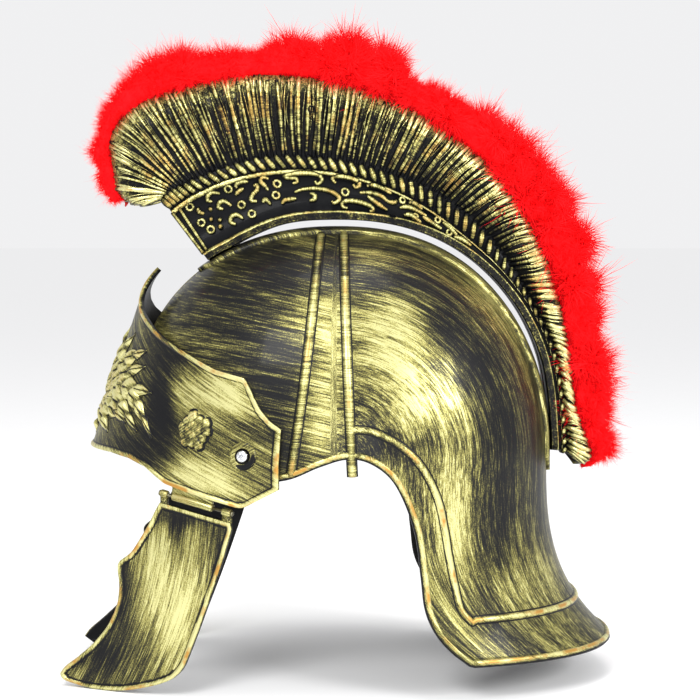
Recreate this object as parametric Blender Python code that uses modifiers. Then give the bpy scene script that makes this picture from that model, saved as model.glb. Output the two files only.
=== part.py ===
# Costume helmet in the Roman style: bowl with neck guard, brow plate, hinged cheek guards
# and a fan-shaped crest with a feather trim.
# Metres, +Z up, the helmet faces -Y. The origin is the middle of the head opening at brow level.
import math
import random

import bmesh
import bpy
from mathutils import Matrix, Vector

CLEARANCE = 0.0003

# Bowl
BOWL_FRONT = 0.1150
BOWL_REAR = 0.1166
BOWL_HALF_WIDTH = 0.0930
BOWL_HEIGHT = 0.1205
BOWL_WALL = 0.0022
BOWL_SQUARENESS = 2.25
BOWL_SQUARENESS_CHANGE = 0.25
NECK_DROP = 0.1045
NECK_KICK = 0.0357
NECK_KICK_CURVE = 3.2
NECK_PINCH = 0.0035
NECK_FLARE = 0.0040
BOWL_RIM_FRONT = 0.0080
BOWL_COLUMNS = 32
DOME_ROWS = 8
NECK_ROWS = 6
NECK_SPARE = 0.0040
NECK_CORNER = 0.66

# Raised work on the bowl
BAND_WIDTH = 0.0042
BAND_HEIGHT = 0.0011
RIM_WIDTH = 0.0052
RIM_HEIGHT = 0.0010
STEP_WIDTH = 0.0030
RELIEF_SINK = 0.0014
TRACK_HALF_WIDTH = 0.0230
TRACK_HEIGHT = 0.0020
TRACK_FRONT_TURN = -41.0
TRACK_REAR_TURN = 101.0
TRACK_END_TAPER = 0.6
TRACK_FLAT = 0.5
FRONT_BAND_TOP = -0.0085
FRONT_BAND_LEAN = -0.0140
REAR_BAND_TOP = 0.0035
REAR_BAND_LEAN = 0.0045
BAND_END_LEVEL = -0.0060
BAND_STEPS = 16
BACK_STEPS = 6
TRACK_STEPS = 18

# Brow plate
PLATE_REACH = BOWL_FRONT + 0.0225
PLATE_RAKE = 0.335
PLATE_HALF_WIDTH = BOWL_HALF_WIDTH + 0.0040
PLATE_SIDE_RAKE = 0.075
PLATE_PEAK = 0.0990
PLATE_CURL = 0.0045
PLATE_CURL_START = 0.0840
PLATE_TURN = 77.6
PLATE_SKIRT = 0.0224
PLATE_WALL = 0.0020
PLATE_RIM_WIDTH = 0.0024
PLATE_RIM_STEP = 0.0008
PLATE_RIM_HEIGHT = 0.0009
PLATE_EXTRA_COLUMNS = (0.55, 0.69)

# Emblem and rosette on the brow plate
LEAF_HEIGHT = 0.0021
LEAF_SINK = 0.0007
LEAF_STATIONS = 4
LEAF_SWELL_CURVE = 0.8
LEAF_TIP_WIDTH = 0.12
LEAF_RISE = 1.6
ROSETTE_TURN = 56.3
ROSETTE_LEVEL = 0.0161
ROSETTE_RADIUS = 0.0105
ROSETTE_HEIGHT = 0.0024
ROSETTE_LOBES = 11
ROSETTE_NOTCH = 0.12
ROSETTE_EDGE_HEIGHT = 0.4
ROSETTE_TOP_RADIUS = 0.55

# Screws that clamp the brow plate to the bowl
SCREW_TURN = 69.4
SCREW_LEVEL = 0.0042
SCREW_RADIUS = 0.0015
SCREW_HEAD_RADIUS = 0.0030
SCREW_HEAD_HEIGHT = 0.0016
SCREW_TAIL = 0.0030
SCREW_SIDES = 10
SCREW_HEAD_EDGE = 0.4
SCREW_HEAD_TOP = 0.6
BOSS_RADIUS = 0.0060
BOSS_HEIGHT = 0.0012
BOSS_EDGE = 0.6
BOSS_TOP = 0.85
BOSS_SIDES = 10

# Cheek guard hinges, placed by the brow plate's lower edge
HINGE_FRONT_TURN = 48.0
HINGE_REAR_TURN = 66.8
HINGE_INSET = 0.0015
HINGE_FRONT_DROP = 0.0070
HINGE_REAR_DROP = 0.0041
KNUCKLE_RADIUS = 0.0021
PIN_RADIUS = 0.0009
PIN_HEAD_RADIUS = 0.0016
PIN_HEAD_LENGTH = 0.0008
PIN_SIDES = 10
FRONT_KNUCKLE_END = 0.10
MIDDLE_KNUCKLE_START = 0.17
MIDDLE_KNUCKLE_END = 0.74
REAR_KNUCKLE_START = 0.88
TAB_WALL = 0.0018
EAR_INSET = 0.01
TAB_STEPS = 5

# Cheek guards
GUARD_LENGTH = 0.1050
GUARD_WIDTH = 0.0980
GUARD_WALL = 0.0020
GUARD_TOP_GAP = 0.0050
GUARD_EAR_DROP = 0.0089
GUARD_RIM_WIDTH = 0.0024
GUARD_RIM_STEP = 0.0007
GUARD_RIM_HEIGHT = 0.0009

# Crest
CREST_CENTRE_LEVEL = 0.0100
CREST_HEIGHT = 0.0930
CREST_LIFT = 0.0036
CREST_WALL = 0.0020
CREST_BASE_HALF = 0.0160
CREST_BAND_HALF = 0.0135
CREST_ROPE_HALF = 0.0165
CREST_BRUSH_HALF = 0.0190
CREST_TOP_HALF = 0.0060
CREST_BEVEL = 0.0005
BRUSH_LOW = 0.35
BRUSH_HIGH = 0.82
CREST_RIBS = 25
CREST_RIB_DEPTH = 0.0011
ROPE_RIB_SHARE = 0.4
CREST_END_SHARE = 0.055
CREST_SEAT_GAP = 0.0004
HOLLOW_STEPS = 14
HOLLOW_SPARE = 0.0024
HOLLOW_START = 0.10
HOLLOW_LEAN = 0.7
HOLLOW_END = 0.93
SCROLL_HEIGHT = 0.0010
SCROLL_WIDTH = 0.0022
SCROLLS = 6
SCROLL_FIRST = 0.33
SCROLL_SPAN = 0.30
SCROLL_SIZE = 0.0050
SCROLL_LAST_SIZE = 0.0036
SCROLL_LOW = 0.30
SCROLL_HIGH = 0.68
SCROLL_STEPS = 6

# Feather trim
TRIM_CORE = 0.0060
TRIM_STATIONS = 50
TRIM_SIDES = 10
TRIM_LOCK = 0.0150
TRIM_SHORTEST = 0.55
TRIM_SIDE_SHARE = 0.45
TRIM_NARROW = 0.75
TRIM_LEAN = (-0.15, 0.35)
TRIM_UNDERSIDE = -0.6
TRIM_END_CURVE = 0.25
TRIM_NEAR = 0.004
TRIM_SEED = 11

# Lower edge of the bowl at the ear and the front of the neck guard.
# along is a share of BOWL_REAR, level a share of NECK_DROP.
EAR_EDGE = (
    {"along": -0.780, "level": -0.020},
    {"along": -0.520, "level": -0.062},
    {"along": -0.250, "level": -0.062},
    {"along": -0.080, "level": 0.010},
    {"along": 0.037, "level": 0.048},
    {"along": 0.140, "level": 0.034},
    {"along": 0.240, "level": -0.040},
    {"along": 0.310, "level": -0.160},
    {"along": 0.370, "level": -0.350},
    {"along": 0.396, "level": -0.560},
    {"along": 0.414, "level": -0.720},
    {"along": 0.456, "level": -0.830},
    {"along": 0.520, "level": -0.915},
    {"along": 0.600, "level": -0.985},
)

# Raised step behind the ear, from the rear band down to the neck ridge; same shares.
STEP_LINE = (
    {"along": 0.060, "level": 0.173},
    {"along": 0.156, "level": 0.164},
    {"along": 0.280, "level": 0.094},
    {"along": 0.377, "level": -0.016},
    {"along": 0.448, "level": -0.175},
    {"along": 0.480, "level": -0.325},
    {"along": 0.503, "level": -0.477},
    {"along": 0.530, "level": -0.626},
    {"along": 0.556, "level": -0.734},
    {"along": 0.605, "level": -0.800},
)
NECK_RIDGE_LEVEL = -0.790

# Top and bottom edges of the brow plate.
# turn is a share of PLATE_TURN, top a share of PLATE_PEAK, bottom a share of PLATE_SKIRT.
PLATE_TOP_EDGE = (
    {"turn": 0.000, "top": 1.000},
    {"turn": 0.045, "top": 0.940},
    {"turn": 0.090, "top": 0.880},
    {"turn": 0.148, "top": 0.828},
    {"turn": 0.232, "top": 0.777},
    {"turn": 0.335, "top": 0.727},
    {"turn": 0.459, "top": 0.657},
    {"turn": 0.619, "top": 0.571},
    {"turn": 0.758, "top": 0.485},
    {"turn": 0.870, "top": 0.444},
    {"turn": 0.896, "top": 0.379},
    {"turn": 0.928, "top": 0.291},
    {"turn": 0.966, "top": 0.223},
    {"turn": 1.000, "top": 0.185},
)
PLATE_BOTTOM_EDGE = (
    {"turn": 0.000, "bottom": 0.050},
    {"turn": 0.360, "bottom": 0.050},
    {"turn": 0.476, "bottom": -0.020},
    {"turn": 0.554, "bottom": -0.180},
    {"turn": 0.635, "bottom": -0.535},
    {"turn": 0.764, "bottom": -0.786},
    {"turn": 0.880, "bottom": -1.000},
    {"turn": 0.900, "bottom": -0.990},
    {"turn": 1.000, "bottom": -0.560},
)

# Leaves of the emblem: root and tip as turn (share of PLATE_TURN) and level (share of
# PLATE_PEAK), bow and width as shares of PLATE_PEAK. A leaf off the middle has a twin.
EMBLEM_LEAVES = (
    {"root": (0.000, 0.22), "tip": (0.000, 0.67), "bow": 0.00, "width": 0.120},
    {"root": (0.030, 0.24), "tip": (0.200, 0.64), "bow": 0.05, "width": 0.100},
    {"root": (0.050, 0.25), "tip": (0.360, 0.565), "bow": 0.06, "width": 0.105},
    {"root": (0.070, 0.22), "tip": (0.420, 0.45), "bow": 0.05, "width": 0.100},
    {"root": (0.090, 0.26), "tip": (0.565, 0.110), "bow": 0.19, "width": 0.110},
    {"root": (0.060, 0.20), "tip": (0.400, 0.190), "bow": 0.08, "width": 0.100},
    {"root": (0.000, 0.24), "tip": (0.000, 0.075), "bow": 0.00, "width": 0.085},
)

# Outline of a cheek guard in its own upright plane, from the hinge down and round.
# along is a share of GUARD_WIDTH forward of the hinge's rear end, down of GUARD_LENGTH.
GUARD_OUTLINE = (
    {"along": 0.000, "down": 0.100},
    {"along": 0.048, "down": 0.235},
    {"along": 0.093, "down": 0.348},
    {"along": 0.142, "down": 0.469},
    {"along": 0.201, "down": 0.606},
    {"along": 0.264, "down": 0.744},
    {"along": 0.327, "down": 0.831},
    {"along": 0.503, "down": 0.907},
    {"along": 0.675, "down": 0.942},
    {"along": 0.871, "down": 0.947},
    {"along": 1.012, "down": 0.927},
    {"along": 1.060, "down": 0.888},
    {"along": 1.025, "down": 0.846},
    {"along": 0.933, "down": 0.782},
    {"along": 0.836, "down": 0.704},
    {"along": 0.755, "down": 0.615},
    {"along": 0.698, "down": 0.512},
    {"along": 0.681, "down": 0.404},
    {"along": 0.678, "down": 0.283},
    {"along": 0.604, "down": 0.229},
    {"along": 0.550, "down": 0.161},
    {"along": 0.482, "down": 0.065},
)

# Crest lines as turns in degrees about the crest's centre, 0 straight up and + to the rear,
# and heights above the bowl's track as shares of CREST_HEIGHT. fan is the turn of the
# bristles' outer ends, and lift a share of CREST_LIFT.
CREST_LINES = (
    {"turn": -37.2, "lift": 0.0, "strip": 0.043, "waist": 0.361, "rope": 0.456, "fan": -39.0, "brush": 0.479},
    {"turn": -36.8, "lift": 0.0, "strip": 0.043, "waist": 0.361, "rope": 0.457, "fan": -42.0, "brush": 0.525},
    {"turn": -36.0, "lift": 0.0, "strip": 0.043, "waist": 0.362, "rope": 0.458, "fan": -43.0, "brush": 0.641},
    {"turn": -35.0, "lift": 0.0, "strip": 0.043, "waist": 0.366, "rope": 0.460, "fan": -41.2, "brush": 0.768},
    {"turn": -33.7, "lift": 0.0, "strip": 0.043, "waist": 0.369, "rope": 0.455, "fan": -38.6, "brush": 0.918},
    {"turn": -32.0, "lift": 0.0, "strip": 0.043, "waist": 0.372, "rope": 0.454, "fan": -35.0, "brush": 1.00},
    {"turn": -29.5, "lift": 0.05, "strip": 0.045, "waist": 0.372, "rope": 0.452, "fan": -31.0, "brush": 1.020},
    {"turn": -24.0, "lift": 0.4, "strip": 0.058, "waist": 0.373, "rope": 0.449, "fan": -24.0, "brush": 0.998},
    {"turn": -14.0, "lift": 1.0, "strip": 0.082, "waist": 0.355, "rope": 0.437, "fan": -12.5, "brush": 0.941},
    {"turn": -2.0, "lift": 1.0, "strip": 0.086, "waist": 0.318, "rope": 0.393, "fan": 0.0, "brush": 0.861},
    {"turn": 10.0, "lift": 1.0, "strip": 0.082, "waist": 0.254, "rope": 0.334, "fan": 13.0, "brush": 0.749},
    {"turn": 22.0, "lift": 1.0, "strip": 0.082, "waist": 0.180, "rope": 0.284, "fan": 26.0, "brush": 0.617},
    {"turn": 34.0, "lift": 1.0, "strip": 0.082, "waist": 0.122, "rope": 0.223, "fan": 38.5, "brush": 0.494},
    {"turn": 46.0, "lift": 1.0, "strip": 0.082, "waist": 0.105, "rope": 0.165, "fan": 50.0, "brush": 0.370},
    {"turn": 58.0, "lift": 1.0, "strip": 0.082, "waist": 0.103, "rope": 0.125, "fan": 62.0, "brush": 0.266},
    {"turn": 70.0, "lift": 0.8, "strip": 0.074, "waist": 0.096, "rope": 0.117, "fan": 74.0, "brush": 0.197},
    {"turn": 80.0, "lift": 0.3, "strip": 0.055, "waist": 0.076, "rope": 0.098, "fan": 83.0, "brush": 0.164},
    {"turn": 88.0, "lift": 0.0, "strip": 0.043, "waist": 0.065, "rope": 0.086, "fan": 90.0, "brush": 0.203},
    {"turn": 92.0, "lift": 0.0, "strip": 0.043, "waist": 0.065, "rope": 0.086, "fan": 94.5, "brush": 0.249},
    {"turn": 94.5, "lift": 0.0, "strip": 0.043, "waist": 0.065, "rope": 0.086, "fan": 97.5, "brush": 0.245},
    {"turn": 96.0, "lift": 0.0, "strip": 0.043, "waist": 0.065, "rope": 0.086, "fan": 99.0, "brush": 0.160},
)

# Height of the feather locks along the crest, as shares of TRIM_LOCK.
TRIM_HEIGHTS = (0.55, 0.75, 0.70, 0.62, 0.85, 1.45, 1.55, 1.30, 1.30, 1.35, 1.30, 1.25, 1.20, 0.80)

MATERIALS = {
    "antique_gold": {"color": (0.36, 0.33, 0.12, 1.0), "metallic": 0.6, "roughness": 0.35},
    "screw_steel": {"color": (0.62, 0.63, 0.65, 1.0), "metallic": 1.0, "roughness": 0.25},
    "hinge_steel": {"color": (0.20, 0.19, 0.15, 1.0), "metallic": 0.9, "roughness": 0.4},
    "red_marabou": {"color": (0.86, 0.01, 0.02, 1.0), "metallic": 0.0, "roughness": 0.9},
}


# Scene helpers
def clear_scene():
    for item in list(bpy.data.objects):
        bpy.data.objects.remove(item)


def new_collection(name, hidden=False):
    collection = bpy.data.collections.new(name)
    bpy.context.scene.collection.children.link(collection)
    collection.hide_render = hidden
    return collection


def make_materials():
    made = {}
    for name, look in MATERIALS.items():
        material = bpy.data.materials.new(name)
        material.use_nodes = True
        shader = material.node_tree.nodes["Principled BSDF"]
        shader.inputs["Base Color"].default_value = look["color"]
        shader.inputs["Metallic"].default_value = look["metallic"]
        shader.inputs["Roughness"].default_value = look["roughness"]
        made[name] = material
    return made


def add_object(name, bm, collection, material=None, origin=(0.0, 0.0, 0.0)):
    """The mesh as an object whose own origin is at a point of the frame."""
    mesh = bpy.data.meshes.new(name)
    bmesh.ops.translate(bm, verts=bm.verts, vec=-Vector(origin))
    bm.to_mesh(mesh)
    bm.free()
    item = bpy.data.objects.new(name, mesh)
    item.location = origin
    collection.objects.link(item)
    if material:
        mesh.materials.append(material)
    else:
        item.hide_render = True
        item.display_type = "WIRE"
    return item


def add_turned(name, profile, sides, place, way, collection, material=None):
    """A solid turned about its own Z axis from rows of (radius, level), stood at place along way."""
    bm = bmesh.new()
    points = [bm.verts.new((radius, 0.0, level)) for radius, level in profile]
    for first, last in zip(points, points[1:]):
        bm.edges.new((first, last))
    item = add_object(name, bm, collection, material)
    item.location = place
    item.rotation_euler = way.to_track_quat("Z", "Y").to_euler()
    turned = item.modifiers.new("Turned", "SCREW")
    turned.axis = "Z"
    turned.steps = sides
    turned.render_steps = sides
    turned.use_merge_vertices = True
    turned.merge_threshold = 0.00001
    turned.use_normal_flip = True
    turned.use_smooth_shade = False
    return item


def add_solidify(item, thickness):
    wall = item.modifiers.new("Wall", "SOLIDIFY")
    wall.thickness = thickness
    wall.offset = -1.0
    wall.use_even_offset = True


def add_boolean(item, name, operation, tools):
    cut = item.modifiers.new(name, "BOOLEAN")
    cut.operation = operation
    cut.solver = "EXACT"
    if isinstance(tools, bpy.types.Collection):
        cut.operand_type = "COLLECTION"
        cut.collection = tools
    else:
        cut.object = tools


# Curves through short tables
def blend(points, share):
    """Point of a Catmull-Rom curve through the points, share from 0 to 1."""
    place = min(max(share, 0.0), 1.0) * (len(points) - 1)
    i = min(int(place), len(points) - 2)
    t = place - i
    before = points[max(i - 1, 0)]
    after = points[min(i + 2, len(points) - 1)]
    out = []
    for a, b, c, d in zip(before, points[i], points[i + 1], after):
        out.append(0.5 * (2 * b + (c - a) * t + (2 * a - 5 * b + 4 * c - d) * t * t
                          + (3 * b - a - 3 * c + d) * t ** 3))
    return out


def smooth(points, steps):
    count = (len(points) - 1) * steps
    return [blend(points, i / count) for i in range(count + 1)]


def along_table(rows, key, value, place):
    """Value of a column where the key column reaches place, straight between rows."""
    for low, high in zip(rows, rows[1:]):
        if place <= high[key]:
            t = (place - low[key]) / (high[key] - low[key])
            return low[value] + t * (high[value] - low[value])
    return rows[-1][value]


# The bowl's outer surface
def neck_share(z):
    return max(-z, 0.0) / NECK_DROP


def bowl_sizes(y, z):
    share = neck_share(z)
    kick = NECK_KICK * share ** NECK_KICK_CURVE
    length = BOWL_FRONT if y < 0.0 else BOWL_REAR + kick
    pinch = NECK_PINCH * math.sin(math.pi * min(share, 1.0))
    width = BOWL_HALF_WIDTH - pinch + NECK_FLARE * share ** NECK_KICK_CURVE
    return width, length


def bowl_value(point):
    """1 on the bowl's outer surface, less inside it."""
    x, y, z = point
    width, length = bowl_sizes(y, z)
    power = BOWL_SQUARENESS
    lean = min(max(y / BOWL_REAR, -1.0), 1.0)
    crown = max(z, 0.0) / BOWL_HEIGHT
    rise = crown ** (power - BOWL_SQUARENESS_CHANGE * lean)
    return abs(x / width) ** power + abs(y / length) ** power + rise


def bowl_hit(start, direction):
    """Where a ray from inside the bowl meets its outer surface."""
    near, far = 0.0, 2.0 * PLATE_REACH
    for _ in range(40):
        middle = 0.5 * (near + far)
        if bowl_value(start + direction * middle) < 1.0:
            near = middle
        else:
            far = middle
    return start + direction * near


def bowl_normal(point):
    step = 0.0002
    slope = []
    for axis in range(3):
        shift = Vector((0.0, 0.0, 0.0))
        shift[axis] = step
        slope.append(bowl_value(point + shift) - bowl_value(point - shift))
    return Vector(slope).normalized()


def bowl_side(y, z, side=1):
    return bowl_hit(Vector((0.0, y, z)), Vector((side, 0.0, 0.0)))


def bowl_round(turn, z):
    """Point at level z, turn in degrees from straight back towards +X."""
    angle = math.radians(turn)
    return bowl_hit(Vector((0.0, 0.0, z)), Vector((math.sin(angle), math.cos(angle), 0.0)))


def bowl_over(turn, x):
    """Point on the line over the crown at distance x from the middle plane."""
    angle = math.radians(turn)
    centre = Vector((x, 0.0, CREST_CENTRE_LEVEL))
    return bowl_hit(centre, Vector((0.0, math.sin(angle), math.cos(angle))))


# Solids by hand: lofts and strips
def ring_loft(bm, rings, closed=False, caps=True):
    """Joins equal rings of points, each a closed loop, into one tube."""
    made = [[bm.verts.new(point) for point in ring] for ring in rings]
    count = len(made[0])
    spans = list(zip(made, made[1:]))
    if closed:
        spans.append((made[-1], made[0]))
    for low, high in spans:
        for i in range(count):
            j = (i + 1) % count
            bm.faces.new((low[i], low[j], high[j], high[i]))
    if caps and not closed:
        bm.faces.new(list(reversed(made[0])))
        bm.faces.new(made[-1])
    bmesh.ops.recalc_face_normals(bm, faces=bm.faces)


def relief_strip(points, normals, width, height, flat=0.55):
    """A raised strip with sloping sides along points on a surface."""
    bm = bmesh.new()
    rings = []
    for i, point in enumerate(points):
        ahead = points[min(i + 1, len(points) - 1)]
        behind = points[max(i - 1, 0)]
        side = (ahead - behind).normalized().cross(normals[i]).normalized()
        low = -normals[i] * RELIEF_SINK
        top = normals[i] * height
        half = side * width / 2
        rings.append((point + half + low, point + half * flat + top,
                      point - half * flat + top, point - half + low))
    ring_loft(bm, rings)
    return bm


def bowl_strip(points, width, height):
    return relief_strip(points, [bowl_normal(point) for point in points], width, height)


# Bowl
def bowl_shell():
    """Outer surface of skull and neck guard, open at the bottom."""
    bm = bmesh.new()
    rows = []
    for row in range(1, DOME_ROWS + 1):
        lift = math.radians(90.0 * (1.0 - row / DOME_ROWS))
        rows.append([(math.cos(lift), math.sin(lift), 0.0)] * BOWL_COLUMNS)
    neck_depth = NECK_DROP + NECK_SPARE
    for row in range(1, NECK_ROWS + 1):
        rows.append([(1.0, 0.0, -neck_depth * row / NECK_ROWS)] * BOWL_COLUMNS)
    grid = []
    for row in rows:
        ring = []
        for i, (flat, rise, level) in enumerate(row):
            turn = 2.0 * math.pi * i / BOWL_COLUMNS
            direction = Vector((flat * math.sin(turn), flat * math.cos(turn), rise))
            ring.append(bm.verts.new(bowl_hit(Vector((0.0, 0.0, level)), direction)))
        grid.append(ring)
    crown = bm.verts.new(bowl_hit(Vector((0.0, 0.0, 0.0)), Vector((0.0, 0.0, 1.0))))
    for i in range(BOWL_COLUMNS):
        j = (i + 1) % BOWL_COLUMNS
        bm.faces.new((crown, grid[0][j], grid[0][i]))
        for low, high in zip(grid[1:], grid):
            bm.faces.new((low[i], high[i], high[j], low[j]))
    bmesh.ops.recalc_face_normals(bm, faces=bm.faces)
    return bm


def edge_line(rows, steps):
    points = [(row["along"] * BOWL_REAR, row["level"] * NECK_DROP) for row in rows]
    return smooth(points, steps)


def face_opening():
    """Prism that takes away the face, the ears and all below the neck guard."""
    far = 2.0 * PLATE_REACH
    outline = [(-far, BOWL_RIM_FRONT), (-BOWL_FRONT, BOWL_RIM_FRONT)]
    outline += edge_line(EAR_EDGE, 2)
    outline += [(NECK_CORNER * BOWL_REAR, -NECK_DROP), (far, -NECK_DROP), (far, -far), (-far, -far)]
    bm = bmesh.new()
    ring_loft(bm, [[(x, y, z) for y, z in outline] for x in (-far, far)])
    return bm


def band_line(top, lean):
    """Points of a raised band from one temple over the crown to the other."""
    points = []
    ends = math.degrees(math.asin(BAND_END_LEVEL / BOWL_HALF_WIDTH))
    for i in range(BAND_STEPS + 1):
        rise = math.radians(ends + (180.0 - 2.0 * ends) * i / BAND_STEPS)
        y = top + lean * (1.0 - math.sin(rise))
        direction = Vector((math.cos(rise), 0.0, math.sin(rise)))
        points.append(bowl_hit(Vector((0.0, y, 0.0)), direction))
    return points


def rim_line():
    """Points of the raised rim: one ear edge, the back of the neck guard, the other ear."""
    side = [Vector(bowl_side(y, z)) for y, z in edge_line(EAR_EDGE[1:], 2)]
    corner = math.degrees(math.atan2(side[-1].x, side[-1].y))
    back = []
    for i in range(1, BACK_STEPS + 1):
        back.append(bowl_round(corner * (1.0 - i / BACK_STEPS), -NECK_DROP + CLEARANCE))
    half = side + back
    other = [Vector((-p.x, p.y, p.z)) for p in reversed(half[:-1])]
    return half + other


def step_line():
    """Points of the step behind one ear, along the neck ridge and up to the other ear."""
    side = [Vector(bowl_side(y, z)) for y, z in edge_line(STEP_LINE, 1)]
    back = []
    corner = math.degrees(math.atan2(side[-1].x, side[-1].y))
    for i in range(1, BACK_STEPS + 1):
        back.append(bowl_round(corner * (1.0 - i / BACK_STEPS), NECK_RIDGE_LEVEL * NECK_DROP))
    half = side + back
    other = [Vector((-p.x, p.y, p.z)) for p in reversed(half[:-1])]
    return half + other


def crest_track():
    """Low track over the crown that the crest stands on."""
    bm = bmesh.new()
    rings = []
    for i in range(TRACK_STEPS + 1):
        turn = TRACK_FRONT_TURN + (TRACK_REAR_TURN - TRACK_FRONT_TURN) * i / TRACK_STEPS
        end = TRACK_END_TAPER if i in (0, TRACK_STEPS) else 1.0
        low = []
        high = []
        for share in (-1.0, -TRACK_FLAT, TRACK_FLAT, 1.0):
            point = bowl_over(turn, share * end * TRACK_HALF_WIDTH)
            normal = bowl_normal(point)
            low.append(point - normal * RELIEF_SINK)
            high.append(point + normal * TRACK_HEIGHT)
        rings.append(low + list(reversed(high)))
    ring_loft(bm, rings)
    return bm


def build_bowl(parts, materials):
    bowl = add_object("bowl", bowl_shell(), parts, materials["antique_gold"])
    add_solidify(bowl, BOWL_WALL)
    relief = new_collection("bowl relief", hidden=True)
    bands = ((FRONT_BAND_TOP, FRONT_BAND_LEAN), (REAR_BAND_TOP, REAR_BAND_LEAN))
    for i, (top, lean) in enumerate(bands):
        strip = bowl_strip(band_line(top, lean), BAND_WIDTH, BAND_HEIGHT)
        add_object("band tool %d" % i, strip, relief)
    add_object("rim tool", bowl_strip(rim_line(), RIM_WIDTH, RIM_HEIGHT), relief)
    add_object("step tool", bowl_strip(step_line(), STEP_WIDTH, BAND_HEIGHT), relief)
    add_object("track tool", crest_track(), relief)
    add_boolean(bowl, "Raised work", "UNION", relief)
    cuts = new_collection("bowl cuts", hidden=True)
    add_object("face tool", face_opening(), cuts)
    for side in (1, -1):
        add_screw_hole("bowl hole tool", side, cuts)
    add_boolean(bowl, "Openings", "DIFFERENCE", cuts)


# Brow plate
def plate_point(turn, level, lift=0.0):
    """Point of the brow plate's outer surface; turn in degrees towards +X from the front."""
    angle = math.radians(turn)
    curl = max(level - PLATE_CURL_START, 0.0) / (PLATE_PEAK - PLATE_CURL_START)
    reach = PLATE_REACH - PLATE_RAKE * max(level, 0.0) - PLATE_CURL * curl ** 2
    width = PLATE_HALF_WIDTH - PLATE_SIDE_RAKE * max(level, 0.0)
    point = Vector((width * math.sin(angle), -reach * math.cos(angle), level))
    if lift:
        point = point + plate_normal(turn, level) * lift
    return point


def plate_normal(turn, level):
    round_way = plate_point(turn + 0.5, level) - plate_point(turn - 0.5, level)
    up_way = plate_point(turn, level + 0.0005) - plate_point(turn, level - 0.0005)
    return round_way.cross(up_way).normalized()


def plate_edges(turn):
    share = abs(turn) / PLATE_TURN
    top = along_table(PLATE_TOP_EDGE, "turn", "top", share) * PLATE_PEAK
    bottom = along_table(PLATE_BOTTOM_EDGE, "turn", "bottom", share) * PLATE_SKIRT
    return bottom, top


def plate_turns():
    """Column turns: the edge tables' corners, and the rim's own columns at each end."""
    rim = math.degrees(PLATE_RIM_WIDTH / PLATE_HALF_WIDTH)
    step = math.degrees(PLATE_RIM_STEP / PLATE_HALF_WIDTH)
    half = [PLATE_TURN, PLATE_TURN - rim, PLATE_TURN - rim - step]
    half += [row["turn"] * PLATE_TURN for row in reversed(PLATE_TOP_EDGE[1:-2])]
    half += [share * PLATE_TURN for share in PLATE_EXTRA_COLUMNS]
    half = sorted(half)
    return [-turn for turn in reversed(half)] + [0.0] + half


def plate_shell():
    bm = bmesh.new()
    turns = plate_turns()
    rim_end = PLATE_TURN - math.degrees(PLATE_RIM_WIDTH / PLATE_HALF_WIDTH) - 0.001
    columns = []
    for turn in turns:
        bottom, top = plate_edges(turn)
        rim = PLATE_RIM_WIDTH
        step = rim + PLATE_RIM_STEP
        levels = [bottom, bottom + rim, bottom + step, (bottom + top) / 2]
        levels += [top - step, top - rim, top]
        lifts = [1, 1, 0, 0, 0, 1, 1]
        if abs(turn) > rim_end:
            lifts = [1] * len(levels)
        columns.append([bm.verts.new(plate_point(turn, level, lift * PLATE_RIM_HEIGHT))
                        for level, lift in zip(levels, lifts)])
    for low, high in zip(columns, columns[1:]):
        for i in range(len(low) - 1):
            bm.faces.new((low[i], high[i], high[i + 1], low[i + 1]))
    return bm


def leaf(root, tip, bow, width):
    """A leaf with a raised midrib lying on the brow plate."""
    bm = bmesh.new()
    rings = []
    start = Vector((root[0] * PLATE_TURN, root[1] * PLATE_PEAK))
    end = Vector((tip[0] * PLATE_TURN, tip[1] * PLATE_PEAK))
    per_degree = math.radians(PLATE_REACH)
    run = Vector(((end.x - start.x) * per_degree, end.y - start.y))
    across = Vector((-run.y, run.x)).normalized()
    if run.x < 0.0:
        across = -across
    for i in range(LEAF_STATIONS):
        share = i / (LEAF_STATIONS - 1)
        swell = max(math.sin(math.pi * share ** LEAF_SWELL_CURVE), LEAF_TIP_WIDTH)
        lift = bow * PLATE_PEAK * math.sin(math.pi * share)
        ring = []
        for side, height in ((0.5, -LEAF_SINK), (0.0, LEAF_HEIGHT), (-0.5, -LEAF_SINK)):
            shift = across * (lift + side * swell * width * PLATE_PEAK)
            turn = start.x + (end.x - start.x) * share + shift.x / per_degree
            level = start.y + (end.y - start.y) * share + shift.y
            if height > 0.0:
                height = max(height * min(swell * LEAF_RISE, 1.0), LEAF_SINK)
            ring.append(plate_point(turn, level, height))
        rings.append(ring)
    ring_loft(bm, rings)
    return bm


def rosette(side):
    """A lobed flower standing on the brow plate."""
    bm = bmesh.new()
    turn = side * ROSETTE_TURN
    normal = plate_normal(turn, ROSETTE_LEVEL)
    across = normal.cross(Vector((0.0, 0.0, 1.0))).normalized()
    rise = across.cross(normal)
    centre = plate_point(turn, ROSETTE_LEVEL)
    rows = ((ROSETTE_RADIUS, -PLATE_WALL / 2),
            (ROSETTE_RADIUS, ROSETTE_EDGE_HEIGHT * ROSETTE_HEIGHT),
            (ROSETTE_TOP_RADIUS * ROSETTE_RADIUS, ROSETTE_HEIGHT))
    sides = 2 * ROSETTE_LOBES
    loops = []
    for radius, lift in rows:
        loop = []
        for i in range(sides):
            angle = 2.0 * math.pi * i / sides
            reach = radius * (1.0 - ROSETTE_NOTCH * (i % 2))
            out = across * math.cos(angle) + rise * math.sin(angle)
            loop.append(centre + normal * lift + out * reach)
        loops.append(loop)
    ring_loft(bm, loops)
    return bm


def add_at_screw(name, profile, sides, side, collection, material=None):
    """A shape turned about a brow screw's axis, its levels measured from the plate's face."""
    place = plate_point(side * SCREW_TURN, SCREW_LEVEL)
    way = plate_normal(side * SCREW_TURN, SCREW_LEVEL)
    add_turned(name, profile, sides, place, way, collection, material)


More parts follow.
